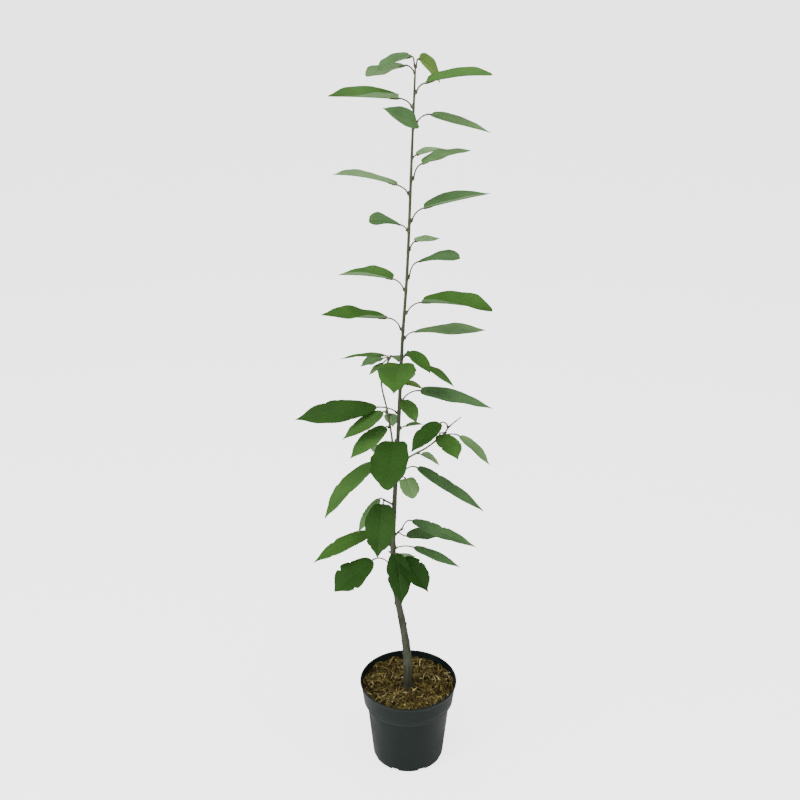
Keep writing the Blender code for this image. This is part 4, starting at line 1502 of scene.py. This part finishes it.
# %% Chips and crumbs
CHIP_REACH = 0.0755
CRUMB = ((0.0010, 0.0008, 0.0006), (0.0034, 0.0026, 0.0018))
CHIP = ((0.0030, 0.0020, 0.0006), (0.0080, 0.0042, 0.0012))
# Tone, count, nearest and farthest, smallest and largest size, height over the soil, tilt
CHIP_KINDS = (
    (0, 1000, (0.0160, 0.0800), *CRUMB, (0.0002, 0.0020), 0.5),
    (0, 300, (0.0100, 0.0240), (0.0010, 0.0008, 0.0006), (0.0032, 0.0024, 0.0018), (0.0004, 0.0026), 0.5),
    (1, 220, (0.0165, 0.0800), *CHIP, (0.0012, 0.0030), 0.22),
    (2, 90, (0.0165, 0.0800), (0.0030, 0.0020, 0.0006), (0.0075, 0.0038, 0.0012), (0.0022, 0.0036), 0.22),
    (3, 16, (0.0200, 0.0750), (0.0028, 0.0020, 0.0006), (0.0070, 0.0036, 0.0011), (0.0030, 0.0042), 0.20),
)


def rough_lump():
    """A small rough body with few faces: a bevelled cube whose corners are pushed about."""
    lump = primitive(bpy.ops.mesh.primitive_cube_add, "lump", size=1.0)
    bpy.ops.object.mode_set(mode="EDIT")
    bpy.ops.mesh.select_all(action="SELECT")
    bpy.ops.mesh.bevel(offset=0.20, segments=1, affect="EDGES")
    bpy.ops.object.mode_set(mode="OBJECT")
    points = coordinates(lump.data)
    move_points(lump.data, points + np.random.default_rng(SEED).normal(0.0, 0.055, points.shape))
    face_outwards(lump)
    return lump


def spots(count, rng, inner, outer, lift):
    """Places on the soil between two radii round the stem's foot, at heights over it."""
    r = np.sqrt(rng.uniform(inner**2, outer**2, count))
    turn = rng.random(count) * math.tau
    x, y = FOOT.x + r * np.cos(turn), FOOT.y + r * np.sin(turn)
    squeeze = np.minimum(1.0, CHIP_REACH / np.hypot(x, y))
    x, y = x * squeeze, y * squeeze
    return np.stack([x, y, ground(x, y) + rng.uniform(*lift, count)], 1)


def scattered(lump, places, sizes, tilt, rng, finish):
    """A joined mesh of copies of a body, each with its own size, turn and tilt."""
    column = (len(places), 1)
    turn = rng.random(column) * math.tau
    lean, roll = rng.normal(0.0, tilt, column), rng.normal(0.0, tilt, column)
    shape = coordinates(lump.data)[None] * sizes[:, None]
    x, y, z = shape[..., 0], shape[..., 1], shape[..., 2]
    across = x * np.cos(turn) - y * np.sin(turn)
    along = x * np.sin(turn) + y * np.cos(turn)
    points = np.stack([across, along, z + x * lean + y * roll], 2) + places[:, None]
    sides = [tuple(face.vertices) for face in lump.data.polygons]
    starts = range(0, len(places) * shape.shape[1], shape.shape[1])
    faces = [tuple(corner + start for corner in side) for start in starts for side in sides]
    return from_arrays("chips", points, faces, finish)


rng = np.random.default_rng(SEED + 7)
lump = rough_lump()
chips = []
for tone, count, reach, low, high, lift, tilt in CHIP_KINDS:
    places = spots(count, rng, *reach, lift)
    sizes = rng.uniform(low, high, (count, 3))
    chips.append(scattered(lump, places, sizes, tilt, rng, MULCH_TONES[tone]))
bpy.data.objects.remove(lump)
print("chips and crumbs:", sum(kind[1] for kind in CHIP_KINDS))

# %% [markdown]
# ## Mulch strips
# Shredded bark lies on top: over two thousand curled strips in three layers, dark and coarse
# below, pale and fine above. A strip is a square tube of a few stations that follows the soil. A
# layer's strips are worked out together as arrays, and joined by tone.

# %% Where the strips lie
MULCH_REACH = 0.0800
STEM_CLEAR = 0.0105
STRIP_STATIONS = 7
TUBE_CORNERS = ((1, 1), (-1, 1), (-1, -1), (1, -1))


def bare_patch(x, y):
    """How bare the soil is: near the stem's foot, in front and to its right."""
    return np.exp(-(((x - 0.016) / 0.017) ** 2) - ((y + 0.020) / 0.016) ** 2)


def strip_places(count, rng):
    """Places for strips, fewer on the bare patch and none at the stem's foot."""
    r = MULCH_REACH * np.sqrt(rng.random(count))
    turn = rng.random(count) * math.tau
    x, y = r * np.cos(turn), r * np.sin(turn)
    keep = rng.random(count) > 0.85 * bare_patch(x, y)
    keep &= np.hypot(x - FOOT.x, y - FOOT.y) > STEM_CLEAR
    return x[keep, None], y[keep, None]


def unit(ways):
    """Directions at length 1."""
    return ways / np.linalg.norm(ways, axis=2, keepdims=True)


def mulch_strips(count, rng, long, wide, layer):
    """The corners of curled strips in one layer: strips, their stations, four corners, xyz."""
    x, y = strip_places(count, rng)
    length = long[0] + (long[1] - long[0]) * rng.random(x.shape) ** 1.8
    width = wide[0] + (wide[1] - wide[0]) * rng.random(x.shape) ** 1.5
    thick = width * rng.uniform(0.35, 0.7, x.shape)
    way = rng.random(x.shape) * math.tau
    curl, wiggle, tilt = (rng.normal(0.0, spread, x.shape) for spread in (0.65, 0.30, 0.10))
    arch = rng.uniform(0.0, 0.10, x.shape) * length
    lift = rng.uniform(*layer, x.shape)
    roll = rng.uniform(-0.8, 0.8, x.shape)
    share = np.linspace(0.0, 1.0, STRIP_STATIONS)[None]
    twist = roll + rng.normal(0.0, 0.6, x.shape) * share

    angle = way + curl * (share - 0.5) + wiggle * np.sin(share * 6.0)
    step = length / (STRIP_STATIONS - 1)
    x = x + np.cumsum(np.cos(angle) * step, 1) - np.cos(way) * length / 2
    y = y + np.cumsum(np.sin(angle) * step, 1) - np.sin(way) * length / 2
    push = np.maximum(1.0, STEM_CLEAR / np.maximum(np.hypot(x - FOOT.x, y - FOOT.y), 1e-6))
    x, y = FOOT.x + (x - FOOT.x) * push, FOOT.y + (y - FOOT.y) * push
    squeeze = np.minimum(1.0, MULCH_REACH / np.hypot(x, y))
    x, y = x * squeeze, y * squeeze
    z = ground(x, y) + lift + arch * np.sin(math.pi * share) + np.abs(tilt) * (share - 0.3) * length

    centre = np.stack([x, y, z], 2)
    ahead = unit(np.gradient(centre, axis=1))
    side = unit(np.cross(ahead, np.array([0.0, 0.0, 1.0])))
    right = side * np.cos(twist)[..., None] + np.cross(side, ahead) * np.sin(twist)[..., None]
    over = np.cross(right, ahead)
    taper = 1.0 - 0.75 * np.abs(2.0 * share - 1.0) ** 3
    half, deep = (width / 2.0 * taper)[..., None], (thick / 2.0 * taper)[..., None]
    return np.stack([centre + right * half * a + over * deep * b for a, b in TUBE_CORNERS], 2)


# %% All the mulch
# Count, length, width, height over the soil, and the share of each tone
LAYERS = (
    (900, (0.008, 0.026), (0.0010, 0.0030), (0.0000, 0.0008), (0.62, 0.33, 0.05, 0.00)),
    (900, (0.008, 0.030), (0.0008, 0.0027), (0.0008, 0.0022), (0.30, 0.42, 0.25, 0.03)),
    (520, (0.010, 0.036), (0.0007, 0.0024), (0.0018, 0.0036), (0.14, 0.36, 0.40, 0.10)),
)


def strip_mesh(corners, finish):
    """A joined mesh of square tubes."""
    strips, stations = corners.shape[:2]
    faces = []
    for low in range(0, 4 * (stations - 1), 4):
        for side in range(4):
            after = (side + 1) % 4
            faces.append((low + side, low + after, low + 4 + after, low + 4 + side))
    last = 4 * (stations - 1)
    faces += [(3, 2, 1, 0), (last, last + 1, last + 2, last + 3)]
    starts = (np.arange(strips) * stations * 4)[:, None, None]
    made = from_arrays("strips", corners, (np.array(faces)[None] + starts).reshape(-1, 4).tolist(), finish)
    face_outwards(made)
    return made


rng = np.random.default_rng(SEED)
by_tone = [[] for _ in MULCH_TONES]
for count, long, wide, layer, weights in LAYERS:
    corners = mulch_strips(count, rng, long, wide, layer)
    tone = rng.choice(len(MULCH_TONES), len(corners), p=weights)
    for index, sets in enumerate(by_tone):
        sets.append(corners[tone == index])
strips = [strip_mesh(np.concatenate(sets), finish) for sets, finish in zip(by_tone, MULCH_TONES)]
settle(joined("mulch_strips", chips + strips), 40.0)

# %% [markdown]
# ## Floor, light and background
# The plant stands on a wide pale floor under a pale sky, in the soft light of a studio: one broad
# light from the left and in front, one weaker from the right, one overhead, and an even light from
# all round that fills the shadows. Floor and sky look near white, but light the plant only softly.

# %% Floor and sky
FLOOR_SIZE = 120.0
WHITE = (1.0, 1.0, 1.0)
PAPER = (0.90, 0.90, 0.90)
FLOOR_GLOW = 2.6
SKY_GLOW = 4.0
SKY_LIGHT = 0.45


def show(nodes, output, lighting, seen):
    """Lights the plant by one surface or sky, and shows the camera another."""
    mix = nodes.node("MixShader")
    camera_ray = nodes.node("LightPath").outputs["Is Camera Ray"]
    for socket, value in zip(mix.inputs, (camera_ray, lighting, seen)):
        nodes.put(socket, value)
    nodes.put(nodes.tree.nodes[output].inputs["Surface"], mix.outputs[0])


floor = primitive(bpy.ops.mesh.primitive_plane_add, "studio_floor", size=FLOOR_SIZE)
paper = bpy.data.materials.new("studio_paper")
paper.use_nodes = True
nodes = Nodes(paper.node_tree)
plain = nodes.fill(nodes.tree.nodes["Principled BSDF"], Base_Color=PAPER, Roughness=0.9).outputs[0]
both = nodes.node("AddShader")
nodes.put(both.inputs[0], plain)
nodes.put(both.inputs[1], nodes.node("Emission", Color=WHITE, Strength=FLOOR_GLOW).outputs[0])
show(nodes, "Material Output", plain, both.outputs[0])
floor.data.materials.append(paper)

SCENE.world = bpy.data.worlds.new("studio")
SCENE.world.use_nodes = True
nodes = Nodes(SCENE.world.node_tree)
sky = nodes.fill(nodes.tree.nodes["Background"], Color=WHITE, Strength=SKY_LIGHT).outputs[0]
show(nodes, "World Output", sky, nodes.node("Background", Color=WHITE, Strength=SKY_GLOW).outputs[0])


# %% Light
def soft_light(name, place, aim, size, power):
    """A square area light at a place that looks at a point."""
    lamp = bpy.data.lights.new(name, "AREA")
    lamp.shape = "RECTANGLE"
    lamp.size, lamp.size_y = size
    lamp.energy = power
    obj = bpy.data.objects.new(name, lamp)
    obj.location = place
    obj.rotation_euler = (Vector(aim) - Vector(place)).to_track_quat("-Z", "Y").to_euler()
    SCENE.collection.objects.link(obj)


soft_light("key_left", (-2.2, -1.6, 1.6), (0.0, 0.0, 0.5), (1.6, 2.6), 70.0)
soft_light("fill_right", (2.6, -1.2, 1.4), (0.0, 0.0, 0.5), (1.4, 2.4), 25.0)
soft_light("overhead", (0.0, -0.6, 3.0), (0.0, 0.0, 0.6), (2.6, 2.6), 60.0)
